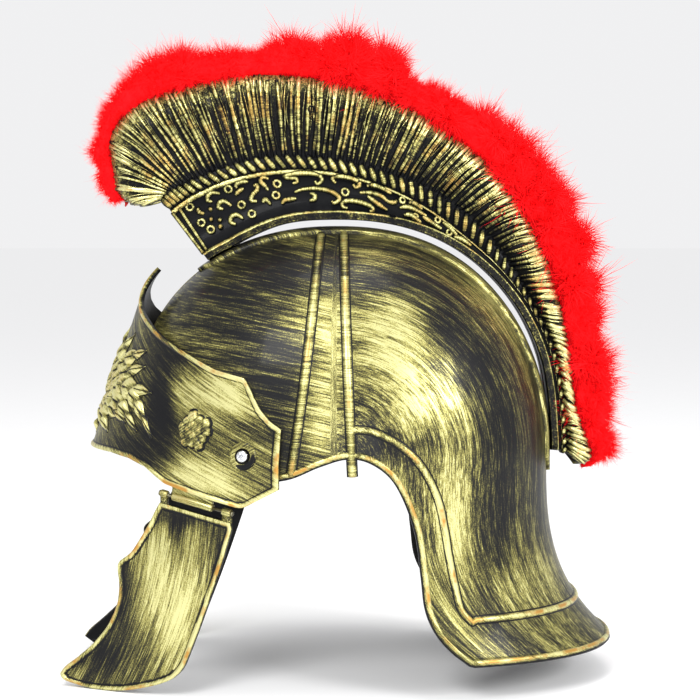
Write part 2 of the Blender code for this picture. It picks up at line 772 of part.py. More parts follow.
def add_screw_boss(name, side, collection):
    profile = ((0.0, -PLATE_WALL / 2), (BOSS_RADIUS, -PLATE_WALL / 2),
               (BOSS_RADIUS, BOSS_EDGE * BOSS_HEIGHT), (BOSS_TOP * BOSS_RADIUS, BOSS_HEIGHT),
               (0.0, BOSS_HEIGHT))
    add_at_screw(name, profile, BOSS_SIDES, side, collection)


def screw_reach():
    """Distance from the plate's face at the screw to the bowl's inner face."""
    centre = plate_point(SCREW_TURN, SCREW_LEVEL)
    normal = plate_normal(SCREW_TURN, SCREW_LEVEL)
    depth = 0.0
    while bowl_value(centre - normal * depth) > 1.0:
        depth += 0.0001
    return depth + BOWL_WALL


def add_screw_hole(name, side, collection):
    radius = SCREW_RADIUS + CLEARANCE
    low = -screw_reach() - 2.0 * SCREW_TAIL
    high = 2.0 * BOSS_HEIGHT
    profile = ((0.0, low), (radius, low), (radius, high), (0.0, high))
    add_at_screw(name, profile, SCREW_SIDES, side, collection)


def build_screws(parts, materials):
    tail = -screw_reach() - SCREW_TAIL
    seat = BOSS_HEIGHT + CLEARANCE
    profile = ((0.0, tail), (SCREW_RADIUS, tail), (SCREW_RADIUS, seat), (SCREW_HEAD_RADIUS, seat),
               (SCREW_HEAD_RADIUS, seat + SCREW_HEAD_EDGE * SCREW_HEAD_HEIGHT),
               (SCREW_HEAD_TOP * SCREW_HEAD_RADIUS, seat + SCREW_HEAD_HEIGHT),
               (0.0, seat + SCREW_HEAD_HEIGHT))
    for side, name in ((1, "brow_screw_left"), (-1, "brow_screw_right")):
        add_at_screw(name, profile, SCREW_SIDES, side, parts, materials["screw_steel"])


# Hinges
def mirrored(point, side):
    return Vector((side * point.x, point.y, point.z))


def hinge_end(turn, drop):
    bottom = plate_edges(turn)[0]
    point = plate_point(turn, min(bottom, 0.0))
    return point + Vector((-HINGE_INSET, 0.0, -drop))


def hinge_place(share, side):
    front = hinge_end(HINGE_FRONT_TURN, HINGE_FRONT_DROP)
    rear = hinge_end(HINGE_REAR_TURN, HINGE_REAR_DROP)
    return mirrored(front.lerp(rear, share), side)


def hinge_run(side):
    return hinge_place(1.0, side) - hinge_place(0.0, side)


def add_on_hinge(name, profile, side, collection, material=None):
    """A shape turned about the hinge axis, its levels measured from the hinge's front end."""
    way = hinge_run(side).normalized()
    add_turned(name, profile, PIN_SIDES, hinge_place(0.0, side), way, collection, material)


def add_barrel(name, side, start, end, radius, collection):
    """Cylinder round the hinge axis between two shares of its length."""
    length = hinge_run(side).length
    low = start * length
    high = end * length
    add_on_hinge(name, ((0.0, low), (radius, low), (radius, high), (0.0, high)), side, collection)


def add_hinge_bore(name, side, collection):
    add_barrel(name, side, -0.5, 1.5, PIN_RADIUS + CLEARANCE, collection)


def plate_tab(side):
    """Web from the brow plate's lower edge down to the middle knuckle."""
    bm = bmesh.new()
    rings = []
    for i in range(TAB_STEPS + 1):
        share = MIDDLE_KNUCKLE_START + (MIDDLE_KNUCKLE_END - MIDDLE_KNUCKLE_START) * i / TAB_STEPS
        low = hinge_place(share, 1)
        turn = math.degrees(math.acos(min(-low.y / PLATE_REACH, 1.0)))
        bottom = plate_edges(turn)[0]
        top = plate_point(turn, bottom + 0.5 * PLATE_RIM_WIDTH, -0.5 * PLATE_WALL)
        out = plate_normal(turn, bottom) * TAB_WALL / 2
        seat = low + Vector((0.0, 0.0, PIN_RADIUS + 2.0 * CLEARANCE))
        ring = (seat - out, seat + out, top + out, top - out)
        rings.append([mirrored(point, side) for point in ring])
    ring_loft(bm, rings)
    return bm


def build_brow_plate(parts, materials):
    plate = add_object("brow_plate", plate_shell(), parts, materials["antique_gold"])
    add_solidify(plate, PLATE_WALL)
    relief = new_collection("plate relief", hidden=True)
    for row in EMBLEM_LEAVES:
        sides = (1,) if row["root"][0] == 0.0 else (1, -1)
        for side in sides:
            root = (side * row["root"][0], row["root"][1])
            tip = (side * row["tip"][0], row["tip"][1])
            add_object("leaf tool", leaf(root, tip, row["bow"], row["width"]), relief)
    for side in (1, -1):
        add_object("rosette tool", rosette(side), relief)
        add_screw_boss("boss tool", side, relief)
        add_object("tab tool", plate_tab(side), relief)
        add_barrel("middle knuckle tool", side, MIDDLE_KNUCKLE_START, MIDDLE_KNUCKLE_END,
                   KNUCKLE_RADIUS, relief)
    add_boolean(plate, "Raised work", "UNION", relief)
    cuts = new_collection("plate cuts", hidden=True)
    for side in (1, -1):
        add_hinge_bore("plate bore tool", side, cuts)
        add_screw_hole("plate hole tool", side, cuts)
    add_boolean(plate, "Holes", "DIFFERENCE", cuts)


def build_pins(parts, materials):
    """Pins with a head at each end."""
    length = hinge_run(1).length
    head = CLEARANCE + PIN_HEAD_LENGTH
    profile = ((0.0, -head), (PIN_HEAD_RADIUS, -head), (PIN_HEAD_RADIUS, -CLEARANCE),
               (PIN_RADIUS, -CLEARANCE), (PIN_RADIUS, length + CLEARANCE),
               (PIN_HEAD_RADIUS, length + CLEARANCE), (PIN_HEAD_RADIUS, length + head),
               (0.0, length + head))
    for side, name in ((1, "hinge_pin_left"), (-1, "hinge_pin_right")):
        add_on_hinge(name, profile, side, parts, materials["hinge_steel"])


# Cheek guards
def guard_frame(side):
    """Forward way in the guard's plane and its outward normal."""
    run = hinge_place(0.0, side) - hinge_place(1.0, side)
    forward = Vector((run.x, run.y, 0.0)).normalized()
    outward = forward.cross(Vector((0.0, 0.0, 1.0))) * -side
    return forward, outward.normalized()


def guard_shell(side):
    """Outer face of a guard with its raised rim, as one open surface."""
    forward, outward = guard_frame(side)
    face_shift = outward * GUARD_WALL / 2
    top_gap = Vector((0.0, 0.0, -GUARD_TOP_GAP))
    rear = hinge_place(1.0, side)
    outline = [rear + top_gap]
    for row in GUARD_OUTLINE:
        place = rear + forward * row["along"] * GUARD_WIDTH
        outline.append(place - Vector((0.0, 0.0, row["down"] * GUARD_LENGTH)))
    outline.append(hinge_place(0.0, side) + top_gap)
    bm = bmesh.new()
    face = bm.faces.new([bm.verts.new(point + face_shift) for point in outline])
    face.normal_update()
    if face.normal.dot(outward) < 0.0:
        face.normal_flip()
    bmesh.ops.inset_region(bm, faces=[face], thickness=GUARD_RIM_WIDTH, use_even_offset=True)
    bmesh.ops.inset_region(bm, faces=[face], thickness=GUARD_RIM_STEP, use_even_offset=True,
                           depth=-GUARD_RIM_HEIGHT)
    return bm


def guard_ear(side, start, end):
    """Web from the guard's top edge up to an end knuckle."""
    forward, outward = guard_frame(side)
    half = outward * TAB_WALL / 2
    rings = []
    bm = bmesh.new()
    for share in (start, end):
        top = hinge_place(share, side) - Vector((0.0, 0.0, PIN_RADIUS + 2.0 * CLEARANCE))
        low = top - Vector((0.0, 0.0, GUARD_EAR_DROP))
        rings.append((top + half, top - half, low - half, low + half))
    ring_loft(bm, rings)
    return bm


def build_guards(parts, materials):
    knuckles = ((0.0, FRONT_KNUCKLE_END), (REAR_KNUCKLE_START, 1.0))
    for side, name in ((1, "cheek_guard_left"), (-1, "cheek_guard_right")):
        guard = add_object(name, guard_shell(side), parts, materials["antique_gold"],
                           hinge_place(0.5, side))
        add_solidify(guard, GUARD_WALL)
        extra = new_collection(name + " knuckles", hidden=True)
        for start, end in knuckles:
            add_barrel("knuckle tool", side, start, end, KNUCKLE_RADIUS, extra)
            ear = guard_ear(side, start + EAR_INSET, end - EAR_INSET)
            add_object("ear tool", ear, extra)
        add_boolean(guard, "Knuckles", "UNION", extra)
        bores = new_collection(name + " bore", hidden=True)
        add_hinge_bore("guard bore tool", side, bores)
        add_boolean(guard, "Bore", "DIFFERENCE", bores)


# Crest
def crest_row(share):
    """One row of the crest's lines, with its heights turned into radii."""
    keys = ("turn", "lift", "strip", "waist", "rope", "fan", "brush")
    rows = [tuple(row[key] for key in keys) for row in CREST_LINES]
    row = dict(zip(keys, blend(rows, share)))
    row["seat"] = crest_seat(row["turn"])
    for key in ("strip", "waist", "rope", "brush"):
        row[key] = row["seat"] + row[key] * CREST_HEIGHT
    row["seat"] += max(row["lift"], 0.0) * CREST_LIFT
    return row


def crest_shares(count):
    """Shares of the table that space the bristle ends evenly along the crest."""
    fine = 400
    spots = []
    for i in range(fine + 1):
        row = crest_row(i / fine)
        outer = crest_place(row["fan"], row["brush"], 0.0)
        inner = crest_place(row["turn"], row["rope"], 0.0)
        spots.append((outer + inner) / 2)
    lengths = [0.0]
    for first, last in zip(spots, spots[1:]):
        lengths.append(lengths[-1] + (last - first).length)
    shares = []
    i = 0
    for k in range(count + 1):
        goal = lengths[-1] * k / count
        while i < fine - 1 and lengths[i + 1] < goal:
            i += 1
        part = (goal - lengths[i]) / (lengths[i + 1] - lengths[i])
        shares.append((i + part) / fine)
    return shares


def crest_place(turn, radius, x):
    angle = math.radians(turn)
    return Vector((x, radius * math.sin(angle), CREST_CENTRE_LEVEL + radius * math.cos(angle)))


def crest_seat(turn):
    """Radius that is just clear of the bowl's track."""
    radius = 0.0
    for x in (TRACK_FLAT * TRACK_HALF_WIDTH, CREST_BASE_HALF):
        point = bowl_over(turn, x)
        point = point + bowl_normal(point) * TRACK_HEIGHT
        reach = math.hypot(point.y, point.z - CREST_CENTRE_LEVEL)
        radius = max(radius, reach)
    return radius + CREST_SEAT_GAP


def end_round(share):
    """Width left at a share of the crest's length from an end that rounds off."""
    part = min(share / CREST_END_SHARE, 1.0)
    return math.sqrt(max(1.0 - (1.0 - part) ** 2, 0.0))


def crest_section(share, inset=0.0, flute=0.0):
    """Half section of the crest from base to top seam, as points with x above 0."""
    row = crest_row(share)
    strip = row["strip"]
    rope = row["rope"]
    top = row["brush"] - inset
    fan = row["fan"]
    turn = row["turn"]
    close = end_round(min(share, 1.0 - share))
    band_close = end_round(1.0 - share)
    closes = [band_close] * 6 + [close] * 3
    half = [CREST_BASE_HALF, CREST_BASE_HALF - CREST_BEVEL, CREST_BAND_HALF, CREST_BAND_HALF,
            CREST_ROPE_HALF + ROPE_RIB_SHARE * flute, CREST_BAND_HALF + CREST_BEVEL,
            CREST_BRUSH_HALF + flute, CREST_BRUSH_HALF - 2.0 * CREST_BEVEL + flute, CREST_TOP_HALF]
    radii = [row["seat"] + inset, strip, strip + CREST_BEVEL, row["waist"],
             (row["waist"] + rope) / 2, rope, rope + BRUSH_LOW * (top - rope),
             rope + BRUSH_HIGH * (top - rope), top]
    places = [0.0, 0.0, 0.0, 0.0, 0.0, 0.05, BRUSH_LOW, BRUSH_HIGH, 1.0]
    if inset:
        places = [place * HOLLOW_LEAN for place in places]
    section = []
    for x, radius, lean, shut in zip(half, radii, places, closes):
        width = max((x - inset) * shut, 0.0)
        section.append(crest_place(turn + lean * (fan - turn), radius, CLEARANCE / 2 + width))
    return section


def crest_half():
    """One half of the crest as a solid block with bristle ribs on its outer side."""
    bm = bmesh.new()
    count = 2 * CREST_RIBS
    seam = CLEARANCE / 2
    grid = []
    for k, share in enumerate(crest_shares(count)):
        flute = -CREST_RIB_DEPTH if k % 2 else 0.0
        section = crest_section(share, 0.0, flute)
        first = Vector((seam, section[0].y, section[0].z))
        last = Vector((seam, section[-1].y, section[-1].z))
        if k in (0, count):
            section = [Vector((seam, p.y, p.z)) for p in section]
            grid.append([bm.verts.new(p) for p in section])
        else:
            grid.append([bm.verts.new(p) for p in [first] + section + [last]])
    for low, high in zip(grid[1:-1], grid[2:-1]):
        for i in range(len(low) - 1):
            bm.faces.new((low[i], low[i + 1], high[i + 1], high[i]))
    for end, beside in ((grid[0], grid[1]), (grid[-1], grid[-2])):
        for i in range(len(end) - 1):
            bm.faces.new((end[i], end[i + 1], beside[i + 2], beside[i + 1]))
        bm.faces.new((end[0], beside[1], beside[0]))
        bm.faces.new((end[-1], beside[-1], beside[-2]))
    edge = [row[0] for row in grid[1:-1]] + list(grid[-1])
    edge += [row[-1] for row in reversed(grid[1:-1])] + list(reversed(grid[0]))
    bm.faces.new(edge)
    bmesh.ops.recalc_face_normals(bm, faces=bm.faces)
    return bm


def crest_hollow():
    """Core that is taken out of a crest half, open towards the middle plane."""
    bm = bmesh.new()
    rings = []
    for k in range(HOLLOW_STEPS + 1):
        share = HOLLOW_START + (HOLLOW_END - HOLLOW_START) * k / HOLLOW_STEPS
        section = crest_section(share, CREST_WALL, 0.0)
        keep = [section[i] for i in (0, 3, 5, 6, 7, 8)]
        deep = [Vector((max(p.x - HOLLOW_SPARE, 0.0), p.y, p.z)) for p in keep]
        first = Vector((-CREST_WALL, deep[0].y, deep[0].z))
        last = Vector((-CREST_WALL, deep[-1].y, deep[-1].z))
        rings.append([first] + deep + [last])
    ring_loft(bm, rings)
    return bm


def flip_to(bm, side):
    if side < 0:
        bmesh.ops.scale(bm, vec=(-1.0, 1.0, 1.0), verts=bm.verts)
        bmesh.ops.reverse_faces(bm, faces=bm.faces)
    return bm


def scroll(place, level, size, side_up):
    """A small C-scroll standing on the ornament band."""
    points = []
    normals = []
    row = crest_row(place)
    middle = row["strip"] + (row["waist"] - row["strip"]) * level
    for i in range(SCROLL_STEPS + 1):
        angle = math.radians(-30.0 + 40.0 * i)
        reach = size * (1.0 - 0.08 * i)
        radius = middle + side_up * reach * 0.55 * math.sin(angle)
        turn = row["turn"] + math.degrees(reach * math.cos(angle) / middle)
        points.append(crest_place(turn, radius, CLEARANCE / 2 + CREST_BAND_HALF))
        normals.append(Vector((1.0, 0.0, 0.0)))
    return relief_strip(points, normals, SCROLL_WIDTH, SCROLL_HEIGHT, 0.4)


def build_crest(parts, materials):
    for side, name in ((1, "crest_left"), (-1, "crest_right")):
        half = add_object(name, flip_to(crest_half(), side), parts, materials["antique_gold"])
        relief = new_collection(name + " relief", hidden=True)
        for k in range(SCROLLS):
            place = SCROLL_FIRST + SCROLL_SPAN * k / SCROLLS
            height = SCROLL_HIGH if k % 2 else SCROLL_LOW
            size = SCROLL_SIZE if k < SCROLLS - 2 else SCROLL_LAST_SIZE
            bm = flip_to(scroll(place, height, size, 1 if k % 2 else -1), side)
            add_object("scroll tool", bm, relief)
        add_boolean(half, "Scrolls", "UNION", relief)
        hollow = new_collection(name + " hollow", hidden=True)
        add_object("hollow tool", flip_to(crest_hollow(), side), hollow)
        add_boolean(half, "Hollow", "DIFFERENCE", hollow)


# Feather trim
def trim_ring(share, station, dice):
    """Closed ring of the trim; every other point stands out as the tip of a lock."""
    row = crest_row(share)
    angle = math.radians(row["fan"])
    ahead = crest_row(min(share + TRIM_NEAR, 1.0))
    behind = crest_row(max(share - TRIM_NEAR, 0.0))
    first = crest_place(behind["fan"], behind["brush"], 0.0)
    last = crest_place(ahead["fan"], ahead["brush"], 0.0)
    way = (last - first).normalized()
    out = Vector((1.0, 0.0, 0.0)).cross(way)
    if out.dot(Vector((0.0, math.sin(angle), math.cos(angle)))) < 0.0:
        out = -out
    foot = crest_place(row["fan"], row["brush"], 0.0) + out * CLEARANCE
    scale = math.sin(math.pi * share) ** TRIM_END_CURVE
    tall = blend([(value,) for value in TRIM_HEIGHTS], share)[0] * TRIM_LOCK
    ring = []
    for i in range(TRIM_SIDES):
        bearing = 2.0 * math.pi * i / TRIM_SIDES
        rise = math.cos(bearing)
        reach = TRIM_CORE
        lean = 0.0
        if (i + station) % 2 == 0 and rise > TRIM_UNDERSIDE:
            upward = TRIM_SIDE_SHARE + (1.0 - TRIM_SIDE_SHARE) * max(rise, 0.0)
            reach += tall * dice.uniform(TRIM_SHORTEST, 1.0) * upward
            lean = dice.uniform(*TRIM_LEAN) * reach
        height = max(TRIM_CORE + reach * rise, 0.0)
        side = reach * math.sin(bearing) * (TRIM_NARROW if rise > 0.0 else 1.0)
        ring.append(foot + out * height * scale + Vector((side * scale, 0.0, 0.0)) + way * lean)
    return ring


def build_trim(parts, materials):
    dice = random.Random(TRIM_SEED)
    bm = bmesh.new()
    rings = []
    shares = crest_shares(TRIM_STATIONS)
    for k, share in enumerate(shares[1:-1]):
        rings.append(trim_ring(share, k, dice))
    ring_loft(bm, rings)
    add_object("feather_trim", bm, parts, materials["red_marabou"])


def main():
    clear_scene()
    materials = make_materials()
    parts = new_collection("roman costume helmet")
    build_bowl(parts, materials)
    build_brow_plate(parts, materials)
    build_screws(parts, materials)
    build_pins(parts, materials)
    build_guards(parts, materials)
    build_crest(parts, materials)
    build_trim(parts, materials)


main()
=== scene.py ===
import math
import random

import bmesh
import bpy
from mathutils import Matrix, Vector, noise


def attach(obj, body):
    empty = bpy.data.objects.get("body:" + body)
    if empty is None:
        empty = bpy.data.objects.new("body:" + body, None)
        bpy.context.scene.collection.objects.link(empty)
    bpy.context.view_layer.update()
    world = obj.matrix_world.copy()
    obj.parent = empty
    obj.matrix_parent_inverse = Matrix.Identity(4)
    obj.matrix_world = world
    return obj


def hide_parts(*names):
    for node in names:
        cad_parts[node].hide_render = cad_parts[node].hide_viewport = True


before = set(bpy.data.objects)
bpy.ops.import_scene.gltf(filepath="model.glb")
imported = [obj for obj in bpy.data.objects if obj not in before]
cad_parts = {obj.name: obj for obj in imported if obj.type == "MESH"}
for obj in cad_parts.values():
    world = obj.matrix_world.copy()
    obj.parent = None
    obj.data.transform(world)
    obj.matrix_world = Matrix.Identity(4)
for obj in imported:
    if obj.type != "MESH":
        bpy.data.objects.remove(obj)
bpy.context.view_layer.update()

# looks of the costume helmet: black plastic dry-brushed with antique gold, red marabou on the crest
# metres, +Z up, the helmet faces -Y, +X is the wearer's left

up = Vector((0, 0, 1))
bothSides = ((1, "left"), (-1, "right"))


# small maths
def mix(a, b, t):
    return a + (b - a) * t


def clamp(value, low=0.0, high=1.0):
    return min(max(value, low), high)


def ease(low, high, value):
    t = clamp((value - low) / (high - low))
    return t * t * (3 - 2 * t)


def curvePoint(points, share):  # Catmull-Rom through the points
    place = clamp(share) * (len(points) - 1)
    i = min(int(place), len(points) - 2)
    t = place - i
    before, after = points[max(i - 1, 0)], points[min(i + 2, len(points) - 1)]
    return [0.5 * (2 * b + (c - a) * t + (2 * a - 5 * b + 4 * c - d) * t * t
                   + (3 * b - a - 3 * c + d) * t ** 3)
            for a, b, c, d in zip(before, points[i], points[i + 1], after)]


def curvePoints(points, count):
    return [curvePoint(points, i / (count - 1)) for i in range(count)]


def readTable(rows, place):  # straight between the rows' first values
    for low, high in zip(rows, rows[1:]):
        if place <= high[0]:
            return mix(low[1], high[1], (place - low[0]) / (high[0] - low[0]))
    return rows[-1][1]


def flipped(point, side):
    return (side * point[0], point[1], point[2])


def ringRound(centre, across, rise, size, sides):  # points of a circle
    angles = [math.tau * i / sides for i in range(sides)]
    return [centre + (across * math.cos(a) + rise * math.sin(a)) * size for a in angles]


def spread(low, high, steps):  # from low to high, both kept
    return [mix(low, high, i / steps) for i in range(steps + 1)]


# a piece in the making: points with how raised they are, where the brush strokes run and a size
class Skin:
    def __init__(self, name, wear=None):
        self.name, self.wear = name, wear
        self.points, self.edges, self.faces = [], [], []
        self.relief, self.strokes, self.sizes = [], [], []

    def add(self, point, relief=0.0, strokes=None, size=1.0):
        self.points.append(tuple(point))
        self.relief.append(relief)
        self.strokes.append(tuple(strokes if strokes is not None else point))
        self.sizes.append(size)
        return len(self.points) - 1

    def loft(self, rings, closed=False, caps=True):  # rings of indices, all as long
        count = len(rings[0])
        spans = list(zip(rings, rings[1:])) + ([(rings[-1], rings[0])] if closed else [])
        for low, high in spans:
            for i in range(count):
                j = (i + 1) % count
                self.faces.append((low[i], low[j], high[j], high[i]))
        if caps and not closed:
            self.faces.append(tuple(reversed(rings[0])))
            self.faces.append(tuple(rings[-1]))

    def panel(self, front, back):  # two grids of indices joined round their edge
        for grid, flip in ((front, False), (back, True)):
            for low, high in zip(grid, grid[1:]):
                for i in range(len(low) - 1):
                    face = (low[i], low[i + 1], high[i + 1], high[i])
                    self.faces.append(face[::-1] if flip else face)
        rims = [[row[0] for row in grid] + grid[-1][1:] + [row[-1] for row in grid[-2::-1]] + grid[0][-2:0:-1]
                for grid in (front, back)]
        count = len(rims[0])
        for i in range(count):
            j = (i + 1) % count
            self.faces.append((rims[0][i], rims[1][i], rims[1][j], rims[0][j]))

    def strip(self, centres, normals, profile, strokes=None, closed=False):
        # profile: (offset, height, relief) across the strip, in metres
        rings = []
        count = len(centres)
        for i, centre in enumerate(centres):
            ahead = centres[(i + 1) % count if closed else min(i + 1, count - 1)]
            behind = centres[i - 1 if closed else max(i - 1, 0)]
            side = (ahead - behind).cross(normals[i]).normalized()
            ring = []
            for offset, height, relief in profile:
                point = centre + side * offset + normals[i] * height
                ring.append(self.add(point, relief, strokes(point) if strokes else None))
            rings.append(ring)
        self.loft(rings, closed)

    def line(self, points, sizes, closed=False, strokes=None):  # a guide that a tube will follow
        first = len(self.points)
        for i, point in enumerate(points):
            self.add(point, 1.0, (strokes[0], strokes[1], i * 0.002) if strokes else None, sizes[i])
        last = len(self.points) - 1
        self.edges += [(i, i + 1) for i in range(first, last)] + ([(last, first)] if closed else [])

    def build(self, material=None):
        mesh = bpy.data.meshes.new(self.name)
        mesh.from_pydata(self.points, self.edges, self.faces)
        wearAndPaintedLightValues = [self.wear(point) if self.wear else 0.0 for point in self.points]
        for name, values in (("relief", self.relief), ("size", self.sizes), ("wear", wearAndPaintedLightValues)):
            mesh.attributes.new(name, "FLOAT", "POINT").data.foreach_set("value", values)
        flat = [value for stroke in self.strokes for value in stroke]
        mesh.attributes.new("strokes", "FLOAT_VECTOR", "POINT").data.foreach_set("vector", flat)
        if self.faces:
            bm = bmesh.new()
            bm.from_mesh(mesh)
            bmesh.ops.recalc_face_normals(bm, faces=bm.faces)
            bm.to_mesh(mesh)
            bm.free()
            mesh.shade_smooth()
        if material:
            mesh.materials.append(material)
        piece = bpy.data.objects.new(self.name, mesh)
        bpy.context.scene.collection.objects.link(piece)
        return piece


def wearAndPaintedLightOn(piece):  # more or less gold round a piece's spots, which stand for brush wear and also for painted highlights and painted shade, seen from the side
    def wear(point):
        return sum(gold * math.exp(-((point[1] - y) / reach) ** 2 - ((point[2] - z) / rise) ** 2)
                   for y, z, reach, rise, gold in piece["wear"])
    return wear


def bead(width, height, sink=0.0012, relief=1.0, steps=8, line=0.0008):  # rounded strip between dark lines
    half, dark = width / 2, -1.2
    rows = [(-half - line, -sink, dark), (-half - line, 0.00008, dark), (-half - line * 0.2, 0.00010, dark)]
    for t in spread(-1, 1, steps):
        rows.append((t * half, 0.0001 + height * math.sqrt(max(1 - t * t, 0.0)), relief * (1 - t * t)))
    return rows + [(-offset, level, shade) for offset, level, shade in rows[2::-1]]


def joinTo(piece, body, slotName, *nodes):  # body it rides on, nodes it stands for
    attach(piece, body)
    if nodes:
        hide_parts(*nodes)


# node sockets as expressions
class Value:
    def __init__(self, tree, socket):
        self.tree, self.socket = tree, socket

    def maths(self, operation, *others):
        node = self.tree.nodes.new("ShaderNodeMath")
        node.operation = operation
        for i, other in enumerate((self,) + others):
            if isinstance(other, Value):
                self.tree.links.new(other.socket, node.inputs[i])
            else:
                node.inputs[i].default_value = other
        return Value(self.tree, node.outputs[0])

    def __add__(self, other): return self.maths("ADD", other)
    def __radd__(self, other): return self.maths("ADD", other)
    def __sub__(self, other): return self.maths("SUBTRACT", other)
    def __rsub__(self, other): return self.maths("MULTIPLY", -1.0).maths("ADD", other)
    def __mul__(self, other): return self.maths("MULTIPLY", other)
    def __rmul__(self, other): return self.maths("MULTIPLY", other)

    def between(self, low, high):  # 0 below low, 1 above high
        return ((self - low) * (1 / (high - low))).maths("MAXIMUM", 0.0).maths("MINIMUM", 1.0)

    def other(self, output):  # another output of the same node
        return Value(self.tree, self.socket.node.outputs[output])


class Nodes:
    def __init__(self, tree):
        self.tree = tree

    def node(self, kind, settings=None, output=0, **inputs):  # inputs by name, or by number as i0, i1
        made = self.tree.nodes.new(kind)
        for key, value in (settings or {}).items():
            if key == "stops":
                ramp = made.color_ramp
                while len(ramp.elements) < len(value):
                    ramp.elements.new(0.5)
                for stop, (place, colour) in zip(ramp.elements, value):
                    stop.position, stop.color = place, (*colour, 1)
            else:
                setattr(made, key, value)
        for key, value in inputs.items():
            socket = made.inputs[int(key[1:])] if key[0] == "i" and key[1:].isdigit() else made.inputs[key]
            if isinstance(value, Value):
                self.tree.links.new(value.socket, socket)
            else:
                socket.default_value = value
        return Value(self.tree, made.outputs[output])


class Finish(Nodes):
    def __init__(self, name):
        self.material = bpy.data.materials.new(name)
        self.material.use_nodes = True
        super().__init__(self.material.node_tree)
        self.shader = self.tree.nodes["Principled BSDF"]

    def feed(self, **inputs):
        for key, value in inputs.items():
            socket = self.shader.inputs[key.replace("_", " ")]
            if isinstance(value, Value):
                self.tree.links.new(value.socket, socket)
            else:
                socket.default_value = value

    def attribute(self, name, output):
        return self.node("ShaderNodeAttribute", {"attribute_name": name}, output)

    def place(self):
        return self.node("ShaderNodeTexCoord", None, 3)

    def stretched(self, vector, scale):
        return self.node("ShaderNodeMapping", Vector=vector, Scale=scale)

    def noise(self, vector, scale, detail=3.0, roughness=0.55):
        return self.node("ShaderNodeTexNoise", Vector=vector, Scale=scale, Detail=detail, Roughness=roughness)

    def blend(self, factor, first, second):
        return self.node("ShaderNodeMix", {"data_type": "RGBA"}, 2, i0=factor, i6=first, i7=second)

    def bumped(self, height, strength, distance, normal=None):
        extra = {"Normal": normal} if normal else {}
        return self.node("ShaderNodeBump", Height=height, Strength=strength, Distance=distance, **extra)


class Growth(Nodes):  # a geometry tree with named inputs
    def __init__(self, name, **sockets):
        super().__init__(bpy.data.node_groups.new(name, "GeometryNodeTree"))
        self.tree.interface.new_socket("Geometry", in_out="INPUT", socket_type="NodeSocketGeometry")
        for key, kind in sockets.items():
            self.tree.interface.new_socket(key, in_out="INPUT", socket_type="NodeSocket" + kind)
        self.tree.interface.new_socket("Geometry", in_out="OUTPUT", socket_type="NodeSocketGeometry")
        self.given = self.tree.nodes.new("NodeGroupInput")

    def input(self, name):
        return Value(self.tree, self.given.outputs[name])

    def named(self, name):
        return self.node("GeometryNodeInputNamedAttribute", {"data_type": "FLOAT"}, 0, Name=name)

    def end(self, geometry):
        whole = self.node("GeometryNodeRealizeInstances", i0=geometry)
        smooth = self.node("GeometryNodeSetShadeSmooth", i0=whole)
        dressed = self.node("GeometryNodeSetMaterial", i0=smooth, Material=self.input("Material"))
        out = self.tree.nodes.new("NodeGroupOutput")
        self.tree.links.new(dressed.socket, out.inputs[0])
        return self.tree


def grown(piece, tree, **inputs):  # run the tree on a piece and keep the result as its mesh
    modifier = piece.modifiers.new("growth", "NODES")
    modifier.node_group = tree
    for item in tree.interface.items_tree:
        if item.in_out == "INPUT" and item.name in inputs:
            modifier[item.identifier] = inputs[item.name]
    mesh = bpy.data.meshes.new_from_object(piece.evaluated_get(bpy.context.evaluated_depsgraph_get()))
    piece.modifiers.clear()
    piece.data = mesh
    return piece


def tubeTree():  # a round tube along each guide, as thick as the guide's size says
    grow = Growth("tubesOnGuides", Width="Float", Sides="Int", Wander="Float", Seed="Int", Material="Material")
    lines = grow.node("GeometryNodeMeshToCurve", i0=grow.input("Geometry"))
    chance = grow.node("ShaderNodeTexNoise", {"noise_dimensions": "4D"}, 1, W=grow.input("Seed"), Scale=220.0)
    shift = grow.node("ShaderNodeVectorMath", {"operation": "SUBTRACT"}, 0, i0=chance, i1=(0.5, 0.5, 0.5))
    shift = grow.node("ShaderNodeVectorMath", {"operation": "SCALE"}, 0, i0=shift, Scale=grow.input("Wander"))
    lines = grow.node("GeometryNodeSetPosition", i0=lines, Offset=shift)
    ring = grow.node("GeometryNodeCurvePrimitiveCircle", Resolution=grow.input("Sides"),
                     Radius=grow.input("Width"))
    tubes = grow.node("GeometryNodeCurveToMesh", i0=lines, i1=ring, Scale=grow.named("size"), i3=True)
    across = grow.node("ShaderNodeSeparateXYZ", None, 0, i0=grow.node("GeometryNodeInputNormal"))
    raised = across.maths("ABSOLUTE") * 3.0 - 1.8
    marked = grow.node("GeometryNodeStoreNamedAttribute", {"data_type": "FLOAT", "domain": "POINT"}, 0,
                       i0=tubes, Name="relief", i3=raised)
    return grow.end(marked)


